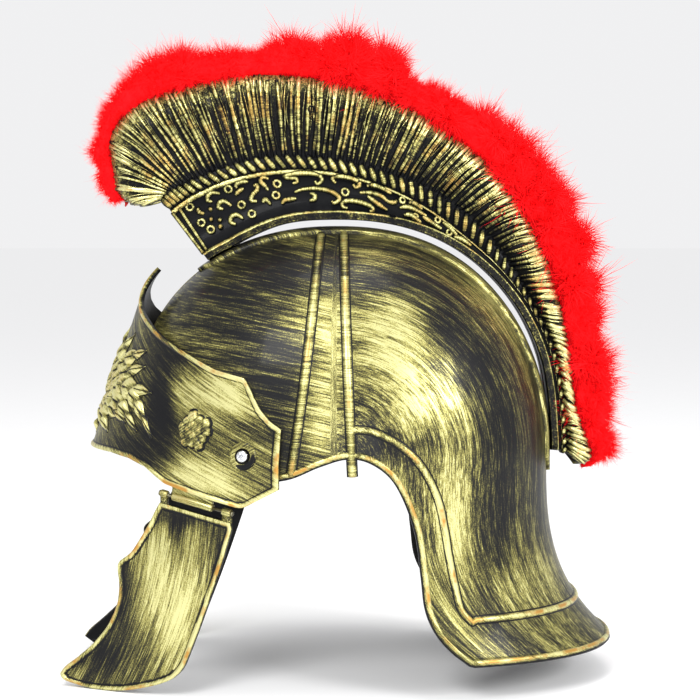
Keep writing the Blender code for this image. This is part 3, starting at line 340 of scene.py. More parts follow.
def tuftTree():  # a tuft on each point strewn over the core
    grow = Growth("tuftsOnCore", Tuft="Object", Density="Float", Shortest="Float", Longest="Float",
                  Lean="Float", Seed="Int", Material="Material")
    points = grow.node("GeometryNodeDistributePointsOnFaces", i0=grow.input("Geometry"),
                       Density=grow.input("Density"), Seed=grow.input("Seed"))
    lean = grow.input("Lean")
    low = grow.node("ShaderNodeCombineXYZ", i0=lean * -1.0, i1=lean * -1.0, i2=-3.14)
    high = grow.node("ShaderNodeCombineXYZ", i0=lean, i1=lean, i2=3.14)
    turn = grow.node("FunctionNodeRandomValue", {"data_type": "FLOAT_VECTOR"}, 0, i0=low, i1=high,
                     i8=grow.input("Seed"))
    turn = grow.node("FunctionNodeEulerToRotation", i0=turn)
    turn = grow.node("FunctionNodeRotateRotation", {"rotation_space": "LOCAL"}, 0, i0=points.other(2), i1=turn)
    length = grow.node("FunctionNodeRandomValue", {"data_type": "FLOAT"}, 1, i2=grow.input("Shortest"),
                       i3=grow.input("Longest"), i8=grow.input("Seed"))
    tuft = grow.node("GeometryNodeObjectInfo", None, 4, i0=grow.input("Tuft"))
    tufts = grow.node("GeometryNodeInstanceOnPoints", i0=points, i2=tuft, i5=turn,
                      i6=length * grow.named("size"))
    return grow.end(tufts)


tubesOnGuides, tuftsOnCore = tubeTree(), tuftTree()


# noise left by the brush: stretch along the strokes and across them, detail, roughness, weight
brushMarks = ((95.0, 3000.0, 2.0, 0.6, 0.85), (38.0, 1050.0, 3.0, 0.6, 0.85),
              (15.0, 260.0, 2.0, 0.5, 0.50), (14.0, 60.0, 2.0, 0.5, 0.50))


def brushedGold(name, cover=0.0, raisedGold=0.34, orange=0.9, shine=0.25, gloss=0.15):
    look = Finish(name)
    strokes = look.attribute("strokes", 1)
    relief = look.attribute("relief", 2)
    # this attribute adds brush wear together with painted highlights and painted shade to the gold
    wear = look.attribute("wear", 2)
    speck = look.noise(look.place(), 1700.0, 1.0, 0.6)
    paint = speck * 0.45 + relief * raisedGold + wear * 0.40 - (1.575 - cover)
    for along, across, detail, roughness, weight in brushMarks:
        marks = look.noise(look.stretched(strokes, (along, across, across)), 1.0, detail, roughness)
        paint = paint + marks * weight
    gold = paint.between(-0.20, 0.36)
    tone = look.node("ShaderNodeValToRGB", {"stops": (
        (0.0, (0.003, 0.0032, 0.004)), (0.26, (0.022, 0.021, 0.012)), (0.50, (0.125, 0.113, 0.034)),
        (0.76, (0.37, 0.34, 0.105)), (1.0, (0.65, 0.62, 0.285)))}, 0, Fac=gold)
    rub = look.noise(look.place(), 60.0, 3.0, 0.65)
    warmth = rub.between(0.49, 0.61) * relief.between(0.35, 0.9) * gold * look.attribute("size", 2) * orange
    look.feed(Base_Color=look.blend(warmth, tone, (0.46, 0.21, 0.03, 1)), Metallic=gold * 0.70,
              Roughness=shine + 0.12 - gold * 0.10 + speck * 0.12, Coat_Weight=gloss * 0.5, Coat_Roughness=0.10,
              Specular_IOR_Level=gloss)
    dents = look.noise(look.place(), 70.0, 2.0, 0.5)
    brushed = look.bumped(paint, 0.35, 0.00022)
    look.feed(Normal=look.bumped(dents, 0.10, 0.0008, brushed))
    return look.material


def marabou():
    look = Finish("redMarabou")
    # painted shade: relief is low on the core and at the barb roots, deep in the fluff, so the red is painted
    # darker there and brighter towards the tips
    depth = look.attribute("relief", 2)
    clump = look.noise(look.place(), 150.0, 3.0, 0.6)
    shade = (depth * 0.8 + clump * 0.6).between(0.12, 0.75)
    tone = look.node("ShaderNodeValToRGB", {"stops": (
        (0.0, (0.30, 0.0, 0.002)), (0.4, (0.80, 0.003, 0.006)), (1.0, (1.0, 0.012, 0.016)))}, 0, Fac=shade)
    look.feed(Base_Color=tone, Roughness=0.9, Specular_IOR_Level=0.05,
              Normal=look.bumped(clump, 0.25, 0.0006))
    return look.material


def steel(name, colour, rough):
    look = Finish(name)
    wear = look.noise(look.place(), 1400.0, 3.0, 0.6)
    look.feed(Base_Color=look.blend(wear.between(0.35, 0.7), colour, tuple(c * 0.7 for c in colour[:3]) + (1,)),
              Metallic=1.0, Roughness=rough + wear * 0.15, Normal=look.bumped(wear, 0.1, 0.0001))
    return look.material


goldFinish = brushedGold("antiqueGold")
crestFinish = brushedGold("crestGold", cover=-0.12, raisedGold=0.36, orange=0.5, shine=0.24, gloss=0.07)
bristleFinish = brushedGold("bristleGold", cover=-0.27, raisedGold=0.48, orange=0.6, shine=0.18, gloss=0.07)
featherFinish = marabou()
screwFinish = steel("platedSteel", (0.72, 0.73, 0.75, 1), 0.16)
hingeFinish = steel("hingeSteel", (0.25, 0.23, 0.15, 1), 0.3)
print("materials made")

# bowl: skull and neck guard
bowl = {
    "front": 0.1150, "rear": 0.1166, "halfWidth": 0.0930, "height": 0.1205, "wall": 0.0022,
    "power": 2.25, "powerChange": 0.25, "neckDrop": 0.1045, "neckKick": 0.0357, "kickCurve": 3.2,
    "neckPinch": 0.0035, "neckFlare": 0.0040, "rimFront": 0.0080,
    "columns": 230, "rows": 84, "neckScale": 0.18,
    "bandWidth": 0.0042, "bandHeight": 0.0013, "bandEnd": 3.8, "stepWidth": 0.0034,
    "rimInset": 0.0009, "rimSunk": 0.0004, "rimBead": (0.0032, 0.0015, 0.0016), "strokeRadius": 0.115,
    "trackHalf": 0.0230, "trackHeight": 0.0020, "trackStart": -41.0, "trackEnd": 101.0,
    "crestCentre": 0.0100,
    # lower edge past the ear: (along as a share of rear, level as a share of neckDrop)
    "earEdge": ((-0.780, -0.020), (-0.520, -0.062), (-0.250, -0.062), (-0.080, 0.010), (0.037, 0.048),
                (0.140, 0.034), (0.240, -0.040), (0.310, -0.160), (0.370, -0.350), (0.396, -0.560),
                (0.414, -0.720), (0.456, -0.830), (0.520, -0.915), (0.600, -0.985)),
    # step behind the ear, same shares
    "stepLine": ((0.060, 0.173), (0.156, 0.164), (0.280, 0.094), (0.377, -0.016), (0.448, -0.175),
                 (0.480, -0.325), (0.503, -0.477), (0.530, -0.626), (0.556, -0.734), (0.605, -0.800)),
    "ridgeLevel": -0.790,
    "bands": ((-0.0085, -0.0140), (0.0035, 0.0045)),  # top of the band and its lean
    "seam": (-40.5, -76.0), "seamBead": (0.0010, 0.0004, 0.0008, 1.0, 4, 0.0006),
    # across the track: share of its half width, share of its height or a depth
    "trackProfile": ((-1, -0.0014), (-0.98, 0.5), (-0.94, 0.9), (-0.88, 1), (-0.5, 1), (0, 1),
                     (0.5, 1), (0.88, 1), (0.94, 0.9), (0.98, 0.5), (1, -0.0014)),
    # where the brush left more gold, or less, together with painted highlights where lamps glint and painted
    # shade on the darker parts of the form: (y, z, reach along, reach up, gold)
    "wear": ((-0.040, 0.101, 0.034, 0.022, -0.55), (-0.055, 0.060, 0.030, 0.018, -0.40),
             (-0.031, 0.022, 0.012, 0.032, -0.50), (-0.020, 0.075, 0.010, 0.016, 0.20),
             (-0.003, 0.066, 0.009, 0.026, 0.55), (-0.008, 0.022, 0.009, 0.020, 0.55),
             (-0.001, 0.104, 0.009, 0.013, -0.45), (0.033, 0.060, 0.020, 0.026, 0.80),
             (0.046, 0.028, 0.026, 0.015, 0.60), (0.033, 0.094, 0.016, 0.010, -0.50),
             (0.057, 0.072, 0.014, 0.013, -0.65), (0.075, 0.046, 0.012, 0.016, -0.65),
             (0.087, 0.018, 0.012, 0.018, -0.55), (0.020, 0.009, 0.016, 0.008, -0.55),
             (0.060, -0.026, 0.010, 0.042, 0.60), (0.084, -0.030, 0.011, 0.042, -0.45),
             (0.094, -0.066, 0.030, 0.012, 0.35), (0.110, -0.018, 0.006, 0.042, -0.45),
             (0.047, -0.050, 0.008, 0.030, 0.30), (0.075, 0.085, 0.012, 0.012, 0.25)),
}


def bowlValue(point):  # 1 on the outer surface
    x, y, z = point
    share = max(-z, 0.0) / bowl["neckDrop"]
    curve = share ** bowl["kickCurve"]
    length = bowl["front"] if y < 0 else bowl["rear"] + bowl["neckKick"] * curve
    pinch = bowl["neckPinch"] * math.sin(math.pi * min(share, 1.0))
    width = bowl["halfWidth"] - pinch + bowl["neckFlare"] * curve
    power = bowl["power"]
    risePower = power - bowl["powerChange"] * clamp(y / bowl["rear"], -1, 1)
    return abs(x / width) ** power + abs(y / length) ** power + (max(z, 0.0) / bowl["height"]) ** risePower


def bowlHit(start, way):
    near, far = 0.0, 0.28
    for _ in range(26):
        middle = (near + far) / 2
        if bowlValue(start + way * middle) < 1:
            near = middle
        else:
            far = middle
    return start + way * near


def bowlNormal(point, step=0.0003):
    slope = []
    for axis in range(3):
        shift = Vector((0, 0, 0))
        shift[axis] = step
        slope.append(bowlValue(point + shift) - bowlValue(point - shift))
    return Vector(slope).normalized()


def bowlDown(turn, q):  # turn round from the front, q from the crown (0) past brow level (1)
    flat = Vector((math.sin(turn), -math.cos(turn), 0))
    if q <= 1:
        lift = math.radians(90 * (1 - q))
        return bowlHit(Vector((0, 0, 0)), flat * math.cos(lift) + up * math.sin(lift))
    return bowlHit(Vector((0, 0, -(q - 1) * bowl["neckScale"])), flat)


def bowlSide(y, z):
    return bowlHit(Vector((0, y, z)), Vector((1, 0, 0)))


def bowlRound(turn, z):  # turn from straight back
    return bowlHit(Vector((0, 0, z)), Vector((math.sin(turn), math.cos(turn), 0)))


def bowlOver(turn, x):  # over the crown about the crest's centre, degrees
    angle = math.radians(turn)
    return bowlHit(Vector((x, 0, bowl["crestCentre"])), Vector((0, math.sin(angle), math.cos(angle))))


def bowlStrokes(point):  # along the brush stroke, across it, depth
    x, y, z = point
    if y < 0:
        return (y, z + 0.25 * y + 0.9 * y * y, 0.04 * x)
    if z >= 0:
        return (math.atan2(y, max(z, 1e-6)) * bowl["strokeRadius"], math.hypot(y, z), x)
    kick = bowl["neckKick"] * (-z / bowl["neckDrop"]) ** bowl["kickCurve"]
    return (math.pi / 2 * bowl["strokeRadius"] - z, y - kick * 1.25, x)


def crossStrokes(point):  # hatched across a band
    return (point[1], point[2] * 1.4, 0.0)


earRows = [(a * bowl["rear"], b * bowl["neckDrop"])
           for a, b in curvePoints(bowl["earEdge"], 105)]
earRows += [(0.66 * bowl["rear"], -bowl["neckDrop"]), (0.3, -bowl["neckDrop"])]


def edgeLevel(y):  # level of the bowl's lower edge
    first = bowl["earEdge"][0]
    if y < first[0] * bowl["rear"]:
        return mix(bowl["rimFront"], first[1] * bowl["neckDrop"],
                   clamp((y + bowl["front"]) / (first[0] * bowl["rear"] + bowl["front"])))
    return readTable(earRows, y)


def edgeShare(turn):  # how far down from the crown the lower edge lies
    low = 0.7
    while True:
        point = bowlDown(turn, low + 0.02)
        if point.z < edgeLevel(point.y):
            break
        low += 0.02
    high = low + 0.02
    for _ in range(14):
        middle = (low + high) / 2
        point = bowlDown(turn, middle)
        if point.z < edgeLevel(point.y):
            high = middle
        else:
            low = middle
    return low


def bowlColumns():  # turns from the front to the rear, evenly spaced along the lower edge
    count = 300
    fine = [math.pi * i / count for i in range(count + 1)]
    edge = [bowlDown(turn, edgeShare(turn)) for turn in fine]
    reach = [0.0]
    for a, b in zip(edge, edge[1:]):
        reach.append(reach[-1] + (b - a).length + 0.0004)
    half = bowl["columns"] // 2
    turns = []
    k = 0
    for i in range(half + 1):
        goal = reach[-1] * i / half
        while k < count - 1 and reach[k + 1] < goal:
            k += 1
        turns.append(mix(fine[k], fine[k + 1], (goal - reach[k]) / (reach[k + 1] - reach[k])))
    return turns


def mirrored(half):
    return half + [Vector(flipped(p, -1)) for p in reversed(half[:-1])]


def bowlWalls(skin):
    half = []
    for turn in bowlColumns():
        low = edgeShare(turn)
        points = [bowlDown(turn, low * i / bowl["rows"]) for i in range(1, bowl["rows"] + 1)]
        half.append([(point, bowlNormal(point)) for point in points])
    columns = half + [[(Vector(flipped(p, -1)), Vector(flipped(n, -1))) for p, n in column]
                      for column in half[-2:0:-1]]
    grids = []
    for depth in (0.0, bowl["wall"]):
        grid = [[skin.add(p - n * depth, 0.0 if depth == 0 else -1.6, bowlStrokes(p)) for p, n in column]
                for column in columns]
        crown = bowlDown(0.0, 0.0)
        pole = skin.add(crown - up * depth, 0.0, bowlStrokes(crown))
        for i, column in enumerate(grid):
            other = grid[(i + 1) % len(grid)]
            skin.faces.append((pole, column[0], other[0]))
            for a, b, c, d in zip(column, column[1:], other[1:], other):
                skin.faces.append((a, b, c, d))
        grids.append(grid)
    outer, inner = grids
    for i, wall in enumerate(outer):
        j = (i + 1) % len(outer)
        skin.faces.append((wall[-1], inner[i][-1], inner[j][-1], outer[j][-1]))


def bowlStrip(skin, line, profile, strokes=bowlStrokes, sunk=0.0):
    normals = [bowlNormal(p) for p in line]
    skin.strip([p - n * sunk for p, n in zip(line, normals)], normals, profile, strokes)


def bowlBands(skin):  # raised bands over the crown
    for top, lean in bowl["bands"]:
        line = []
        for degrees in spread(-bowl["bandEnd"], 180 + bowl["bandEnd"], 120):
            rise = math.radians(degrees)
            y = top + lean * (1 - math.sin(rise))
            line.append(bowlHit(Vector((0, y, 0)), Vector((math.cos(rise), 0, math.sin(rise)))))
        bowlStrip(skin, line, bead(bowl["bandWidth"], bowl["bandHeight"], 0.0012, 0.75), crossStrokes)


def bowlBorder(skin, edge, steps, level, rearSteps, profile, sunk=0.0):
    # down behind the ear, then round the neck at one level
    line = [bowlSide(a * bowl["rear"], b * bowl["neckDrop"]) for a, b in curvePoints(edge, steps)]
    corner = math.atan2(line[-1].x, line[-1].y)
    line += [bowlRound(corner * (1 - i / rearSteps), level) for i in range(1, rearSteps + 1)]
    bowlStrip(skin, mirrored(line), profile, bowlStrokes, sunk)


def bowlTrack(skin):  # track that the crest stands on
    rings = []
    for i, turn in enumerate(spread(bowl["trackStart"], bowl["trackEnd"], 90)):
        half = mix(0.6, 1.0, ease(0, 3, min(i, 90 - i))) * bowl["trackHalf"]
        ring = []
        for share, height in bowl["trackProfile"]:
            point = bowlOver(turn, share * half)
            height = height * bowl["trackHeight"] if height > 0 else height
            relief = 0.3 if abs(share) > 0.9 else 0.0
            ring.append(skin.add(point + bowlNormal(point) * height, relief, bowlStrokes(point)))
        rings.append(ring)
    skin.loft(rings)


def makeBowl():
    skin = Skin("bowlShell", wearAndPaintedLightOn(bowl))
    bowlWalls(skin)
    bowlBands(skin)
    bowlBorder(skin, bowl["stepLine"], 70, bowl["ridgeLevel"] * bowl["neckDrop"], 40,
               bead(bowl["stepWidth"], bowl["bandHeight"]))
    bowlBorder(skin, bowl["earEdge"][1:], 110, bowl["rimInset"] - bowl["neckDrop"], 50,
               bead(*bowl["rimBead"]), bowl["rimSunk"])
    bowlStrip(skin, [bowlOver(turn, 0.0) for turn in spread(*bowl["seam"], 30)], bead(*bowl["seamBead"]))
    bowlTrack(skin)
    joinTo(skin.build(goldFinish), "helmet", "antique_gold", "bowl")


makeBowl()
print("bowl made")

# brow plate with its emblem, rosettes, screw bosses and middle knuckles
plate = {
    "reach": 0.1375, "rake": 0.335, "halfWidth": 0.0970, "sideRake": 0.075, "peak": 0.0990,
    "curl": 0.0045, "curlStart": 0.0840, "turn": 77.6, "skirt": 0.0224, "wall": 0.0020,
    "rimWidth": 0.0024, "rimHeight": 0.0010, "groove": 0.0007, "columns": 210, "rows": 30,
    "edgeSteps": (0, 0.0004, 0.0009, 0.0013, 0.0018, 0.0022, 0.0026, 0.0032),  # rows along the rim
    "sidePerDegree": 0.0017, "strokeArc": 0.00185, "strokeWay": (0.86, 0.5),
    "topEdge": ((0, 1), (0.045, 0.94), (0.09, 0.88), (0.148, 0.828), (0.232, 0.777), (0.335, 0.727),
                (0.459, 0.657), (0.619, 0.571), (0.758, 0.485), (0.870, 0.444), (0.896, 0.379),
                (0.928, 0.291), (0.966, 0.223), (1, 0.185)),
    "bottomEdge": ((0, 0.05), (0.36, 0.05), (0.476, -0.02), (0.554, -0.18), (0.635, -0.535),
                   (0.764, -0.786), (0.880, -1.0), (0.900, -0.99), (1, -0.56)),
    "rosetteTurn": 56.3, "rosetteLevel": 0.0161, "rosetteRadius": 0.0107, "rosetteHeight": 0.0026,
    "screwTurn": 69.4, "screwLevel": 0.0042, "screwRadius": 0.0015, "headRadius": 0.0030,
    "headHeight": 0.0016, "bossRadius": 0.0060, "bossHeight": 0.0012, "clearance": 0.0003,
    "hingeTurns": (48.0, 66.8), "hingeInset": 0.0015, "hingeDrops": (0.0070, 0.0041),
    "hingeLength": 0.0423, "knuckleRadius": 0.0021, "middleKnuckle": (0.17, 0.74), "pinRadius": 0.0009,
    "pinHead": 0.0008,
    # spots of brush wear, with painted highlights and painted shade among them: (y, z, reach along, reach up,
    # gold)
    "wear": ((-0.089, 0.060, 0.011, 0.024, -0.75), (-0.093, 0.024, 0.008, 0.018, -0.80),
             (-0.104, 0.002, 0.014, 0.009, -0.55), (-0.060, 0.033, 0.024, 0.012, 0.80),
             (-0.063, -0.008, 0.018, 0.010, 0.80), (-0.082, 0.040, 0.007, 0.008, 0.45),
             (-0.050, 0.045, 0.014, 0.008, 0.30), (-0.079, -0.004, 0.008, 0.008, 0.35),
             (-0.072, 0.062, 0.014, 0.010, -0.30)),
    "recess": (0.0043, 0.0070, -118.0, 2.0),  # crescent hollow beside the screw, sunk a little and darkened as a painted shadow: radii and bearings
    # from the rim inwards, as shares of the radius and the height, with the relief
    "rosetteRings": ((1, 0.30, -0.3), (0.97, 0.60, 0.3), (0.90, 0.85, 0.5), (0.80, 0.98, 0.4),
                     (0.69, 1.0, 0.3), (0.58, 0.95, 0.1), (0.49, 0.92, 0.0), (0.42, 0.96, 0.2),
                     (0.30, 1.05, 0.4), (0.15, 1.1, 0.4), (0.04, 1.1, 0.3)),
    "bossRings": ((0.4, 0.0), (0.6, 0.1), (0.8, 0.2), (0.92, 0.2)) + ((1.0, 0.2),) * 6 + (
        (1.0, 0.3), (1.0, 0.4), (0.9, 0.3), (0.5, -1.0)),
}
plate["reachPerDegree"] = math.radians(plate["reach"])


def platePoint(turn, level, lift=0.0):
    angle = math.radians(turn)
    curl = max(level - plate["curlStart"], 0) / (plate["peak"] - plate["curlStart"])
    reach = plate["reach"] - plate["rake"] * max(level, 0) - plate["curl"] * curl ** 2
    width = plate["halfWidth"] - plate["sideRake"] * max(level, 0)
    point = Vector((width * math.sin(angle), -reach * math.cos(angle), level))
    return point + plateNormal(turn, level) * lift if lift else point


def plateNormal(turn, level):
    roundWay = platePoint(turn + 0.5, level) - platePoint(turn - 0.5, level)
    upWay = platePoint(turn, level + 0.0005) - platePoint(turn, level - 0.0005)
    return roundWay.cross(upWay).normalized()


def plateEdges(turn):  # levels of the lower and the upper edge
    share = abs(turn) / plate["turn"]
    low, high = readTable(plate["bottomEdge"], share), readTable(plate["topEdge"], share)
    return low * plate["skirt"], high * plate["peak"]


def plateStrokes(turn, level):  # strokes run down to the rear
    arc = abs(turn) * plate["strokeArc"]
    along, across = plate["strokeWay"]
    return (arc * along - level * across, arc * across + level * along, 0.0 if turn >= 0 else 0.3)


def plateTurns():  # closer together at the two ends
    ends = [step / plate["sidePerDegree"] for step in plate["edgeSteps"]]
    widest = plate["turn"]
    turns = [turn for turn in spread(-widest, widest, plate["columns"]) if abs(turn) < widest - ends[-1]]
    return [end - widest for end in ends] + turns + [widest - end for end in reversed(ends)]


def rimShape(distance, piece, start, dark):  # rise and relief of a rounded rim with a dark line inside it
    t = clamp(distance / piece["rimWidth"])
    rise = math.sin(math.pi * mix(start, 1.0, t)) ** 0.7 if t < 1 else 0.0
    inGroove = piece["rimWidth"] <= distance < piece["rimWidth"] + piece["groove"]
    return rise, dark if inGroove else 1.1 * rise


def makePlate():
    skin = Skin("browPlateShell", wearAndPaintedLightOn(plate))
    front, back = [], []
    for turn in plateTurns():
        bottom, top = plateEdges(turn)
        beside = zip(plateEdges(abs(turn) + 1), plateEdges(max(abs(turn) - 1, 0)))
        lowFall, highFall = [math.hypot(1, abs(a - b) / (2 * plate["reachPerDegree"])) for a, b in beside]
        levels = [bottom + step * lowFall for step in plate["edgeSteps"]]
        highLevels = [top - step * highFall for step in reversed(plate["edgeSteps"])]
        levels += spread(levels[-1], highLevels[0], plate["rows"])[1:-1] + highLevels
        outRow, inRow = [], []
        for level in levels:
            distance = min((level - bottom) / lowFall, (top - level) / highFall,
                           (plate["turn"] - abs(turn)) * plate["sidePerDegree"])
            rise, raised = rimShape(distance, plate, 0.28, -1.1)
            normal = plateNormal(turn, level)
            point = platePoint(turn, level)
            strokes = plateStrokes(turn, level)
            outRow.append(skin.add(point + normal * rise * plate["rimHeight"], raised, strokes))
            inRow.append(skin.add(point - normal * plate["wall"], -1.6, strokes))
        front.append(outRow)
        back.append(inRow)
    skin.panel(front, back)
    makeEmblem(skin)
    for side, _ in bothSides:
        makeRosette(skin, side)
        makeBoss(skin, side)
        makeTab(skin, side)
    joinTo(skin.build(goldFinish), "helmet", "antique_gold", "brow_plate")


# leaves of the emblem: root and tip (turn share, level share), bow and width as shares of the peak
emblem = {
    "height": 0.0034, "sink": 0.0007, "stations": 56, "across": 14, "border": 0.0010, "matt": 0.70,
    "warmth": 0.25,
    "leaves": (
        {"root": (0.000, 0.22), "tip": (0.000, 0.700), "bow": 0.00, "width": 0.170, "teeth": 5},
        {"root": (0.020, 0.28), "tip": (0.250, 0.645), "bow": 0.03, "width": 0.150, "teeth": 5},
        {"root": (0.050, 0.30), "tip": (0.405, 0.565), "bow": 0.04, "width": 0.150, "teeth": 6},
        {"root": (0.060, 0.27), "tip": (0.425, 0.480), "bow": 0.03, "width": 0.140, "teeth": 5},
        {"root": (0.080, 0.26), "tip": (0.505, 0.345), "bow": 0.05, "width": 0.150, "teeth": 5},
        {"root": (0.080, 0.28), "tip": (0.560, 0.110), "bow": 0.17, "width": 0.140, "teeth": 8},
        {"root": (0.060, 0.23), "tip": (0.480, 0.140), "bow": 0.10, "width": 0.130, "teeth": 6},
        {"root": (0.050, 0.22), "tip": (0.400, 0.180), "bow": 0.05, "width": 0.125, "teeth": 5},
        {"root": (0.010, 0.22), "tip": (0.280, 0.115), "bow": 0.03, "width": 0.120, "teeth": 4},
        {"root": (0.000, 0.26), "tip": (0.000, 0.060), "bow": 0.00, "width": 0.120, "teeth": 3},
    ),
}


def leafCut(leaf, side, s):  # (middle, bow), way across, swell and half width at share s of the leaf
    start = Vector((side * leaf["root"][0] * plate["turn"], leaf["root"][1] * plate["peak"]))
    end = Vector((side * leaf["tip"][0] * plate["turn"], leaf["tip"][1] * plate["peak"]))
    run = Vector(((end.x - start.x) * plate["reachPerDegree"], end.y - start.y))
    across = Vector((-run.y, run.x)).normalized() * (-1 if run.x < 0 else 1)
    swell = max(math.sin(math.pi * s ** 0.8), 0.03)
    tooth = 1 - 0.52 * ((s * leaf["teeth"]) % 1.0) ** 1.3 if s < 0.97 else 1
    middle = start.lerp(end, s), across * leaf["bow"] * plate["peak"] * math.sin(math.pi * s)
    return middle, across, swell, swell * tooth * leaf["width"] * plate["peak"] / 2


def makeEmblem(skin):
    for leaf in emblem["leaves"]:
        for side in ((1,) if leaf["root"][0] == 0 else (1, -1)):
            top, low = [], []
            for s in spread(0, 1, emblem["stations"]):
                (middle, bow), across, swell, half = leafCut(leaf, side, s)
                topRow, lowRow = [], []
                for j in range(-1, emblem["across"] + 2):
                    t = clamp(-1 + 2 * j / emblem["across"], -1, 1)
                    onBorder = j in (-1, emblem["across"] + 1)
                    lean = 0.5 * abs(t) / leaf["teeth"]  # veins run forward to the teeth
                    shift = bow + across * t * (half + onBorder * emblem["border"])
                    turn = middle.x + shift.x / plate["reachPerDegree"]
                    level = middle.y + shift.y
                    vein = math.cos((s - lean) * leaf["teeth"] * 2 * math.pi)
                    rib = math.exp(-(t / 0.10) ** 2)
                    rise = (1 - t * t) ** 0.45 * (0.80 + 0.22 * vein) - 0.30 * rib
                    raised = emblem["matt"] + 0.95 * vein * abs(t) ** 0.5 - 1.7 * rib
                    lift = max(emblem["height"] * min(swell * 1.6, 1.0) * rise, 0.00025)
                    if onBorder:
                        lift, raised = 0.00030, -1.3
                    strokes = plateStrokes(turn, level)
                    topRow.append(skin.add(platePoint(turn, level, lift), raised, strokes, emblem["warmth"]))
                    lowRow.append(skin.add(platePoint(turn, level, -emblem["sink"]), -0.5, strokes))
                top.append(topRow)
                low.append(lowRow)
            skin.panel(top, low)


def plateDisc(skin, turn, level, rings, sides, shape):  # shape changes radius, lift and relief round the disc
    normal = plateNormal(turn, level)
    across = normal.cross(up).normalized()
    rise = across.cross(normal)
    centre = platePoint(turn, level)
    loops = []
    for radius, lift, relief in rings:
        loop = []
        for i in range(sides):
            angle = math.tau * i / sides
            reach, height, raised = shape(angle, radius, lift, relief)
            point = centre + normal * height + (across * math.cos(angle) + rise * math.sin(angle)) * reach
            strokes = plateStrokes(turn + reach * math.cos(angle) / plate["sidePerDegree"],
                                   level + reach * math.sin(angle))
            loop.append(skin.add(point, raised, strokes))
        loops.append(loop)
    skin.loft(loops)


def makeRosette(skin, side):
    size, height = plate["rosetteRadius"], plate["rosetteHeight"]
    dice = random.Random(7)
    lobes = [dice.uniform(0.78, 1.12) for _ in range(11)]

    def petals(angle, radius, lift, relief):
        share = min(radius / size, 1.0)
        place = angle / math.tau * len(lobes)
        wave = abs(math.cos(math.pi * (place - int(place) - 0.5)))
        lobe = lobes[int(place) % len(lobes)]
        crease = (1 - wave) ** 2 * share
        ragged = 0.22 * noise.noise(Vector((radius * math.cos(angle), radius * math.sin(angle), 0.01)) * 620)
        body = math.sin(math.pi * clamp(share * 0.85))
        lumps = (ragged * 0.9 - crease * 0.22) * height * body
        return (radius * mix(1.0, lobe * (1 - 0.10 * crease), share), lift + lumps,
                relief + ragged * 3.5 - crease * 0.6 * body)

    rings = [(size * 1.12, -plate["wall"] / 2, -1.3), (size * 1.10, 0.00025, -1.3),
             (size * 1.01, 0.00030, -1.3)]
    rings += [(size * s, height * h, relief) for s, h, relief in plate["rosetteRings"]]
    plateDisc(skin, side * plate["rosetteTurn"], plate["rosetteLevel"], rings, 132, petals)


def makeBoss(skin, side):
    size, height = plate["bossRadius"], plate["bossHeight"]
    inner, outer, first, last = plate["recess"]

    def shadedCrescent(angle, radius, lift, relief):
        away = 180 - math.degrees(angle) if side > 0 else math.degrees(angle)
        bearing = (away + 180) % 360 - 180  # 0 to the rear
        inside = ease(first - 25, first + 25, bearing) * (1 - ease(last - 25, last + 25, bearing))
        middle, half = (inner + outer) / 2, (outer - inner) / 2 * inside
        deep = inside * (1 - ease(half - 0.0004, half + 0.0003, abs(radius - middle)))
        # painted shadow: the crescent is darkened as well as sunk
        return radius, lift - deep * 0.0011, relief - deep * 3.0

    rings = [(size * 1.25, -plate["wall"] / 2, 0.0), (size * 1.22, 0.00030, 0.0)]
    rings += [(size * (1.18 - i * 0.04), height * h, relief)
              for i, (h, relief) in enumerate(plate["bossRings"])]
    rings.append((size * 0.3, height * 0.5, -1))
    plateDisc(skin, side * plate["screwTurn"], plate["screwLevel"], rings, 72, shadedCrescent)


def hingeEnd(turn, drop):
    return platePoint(turn, min(plateEdges(turn)[0], 0)) + Vector((-plate["hingeInset"], 0, -drop))


hingeFront = hingeEnd(plate["hingeTurns"][0], plate["hingeDrops"][0])
hingeRear = hingeEnd(plate["hingeTurns"][1], plate["hingeDrops"][1])


def hingePlace(share, side):
    return Vector(flipped(hingeFront.lerp(hingeRear, share), side))


def hingeTurned(skin, side, profile, sides=28, relief=0.5):  # turned about the hinge, (share, radius)
    way = (hingePlace(1, side) - hingePlace(0, side)).normalized()
    across = way.cross(up).normalized()
    rise = across.cross(way)
    rings = []
    for share, radius in profile:
        loop = ringRound(hingePlace(share, side), across, rise, radius, sides)
        rings.append([skin.add(point, relief, (share * 0.04, math.tau * i / sides * radius, side))
                      for i, point in enumerate(loop)])
    skin.loft(rings)


def knuckle(start, end):
    radius, bore, corner = plate["knuckleRadius"], plate["pinRadius"] + plate["clearance"], 0.012
    return [(start, bore), (start, radius * 0.85), (start + corner, radius),
            (end - corner, radius), (end, radius * 0.85), (end, bore)]


def makeTab(skin, side):  # middle knuckle and what joins it to the plate
    rings = []
    for share in spread(*plate["middleKnuckle"], 16):
        low = hingePlace(share, 1)
        turn = math.degrees(math.acos(min(-low.y / plate["reach"], 1)))
        bottom = plateEdges(turn)[0]
        top = platePoint(turn, bottom + 0.5 * plate["rimWidth"], -0.5 * plate["wall"])
        out = plateNormal(turn, bottom) * 0.0009
        seat = low + up * 0.0015
        ring = []
        for point in (seat - out, seat + out, top + out, top - out):
            ring.append(skin.add(flipped(point, side), 0.1, plateStrokes(side * turn, point.z)))
        rings.append(ring)
    skin.loft(rings)
    hingeTurned(skin, side, knuckle(*plate["middleKnuckle"]))


makePlate()
print("brow plate made")


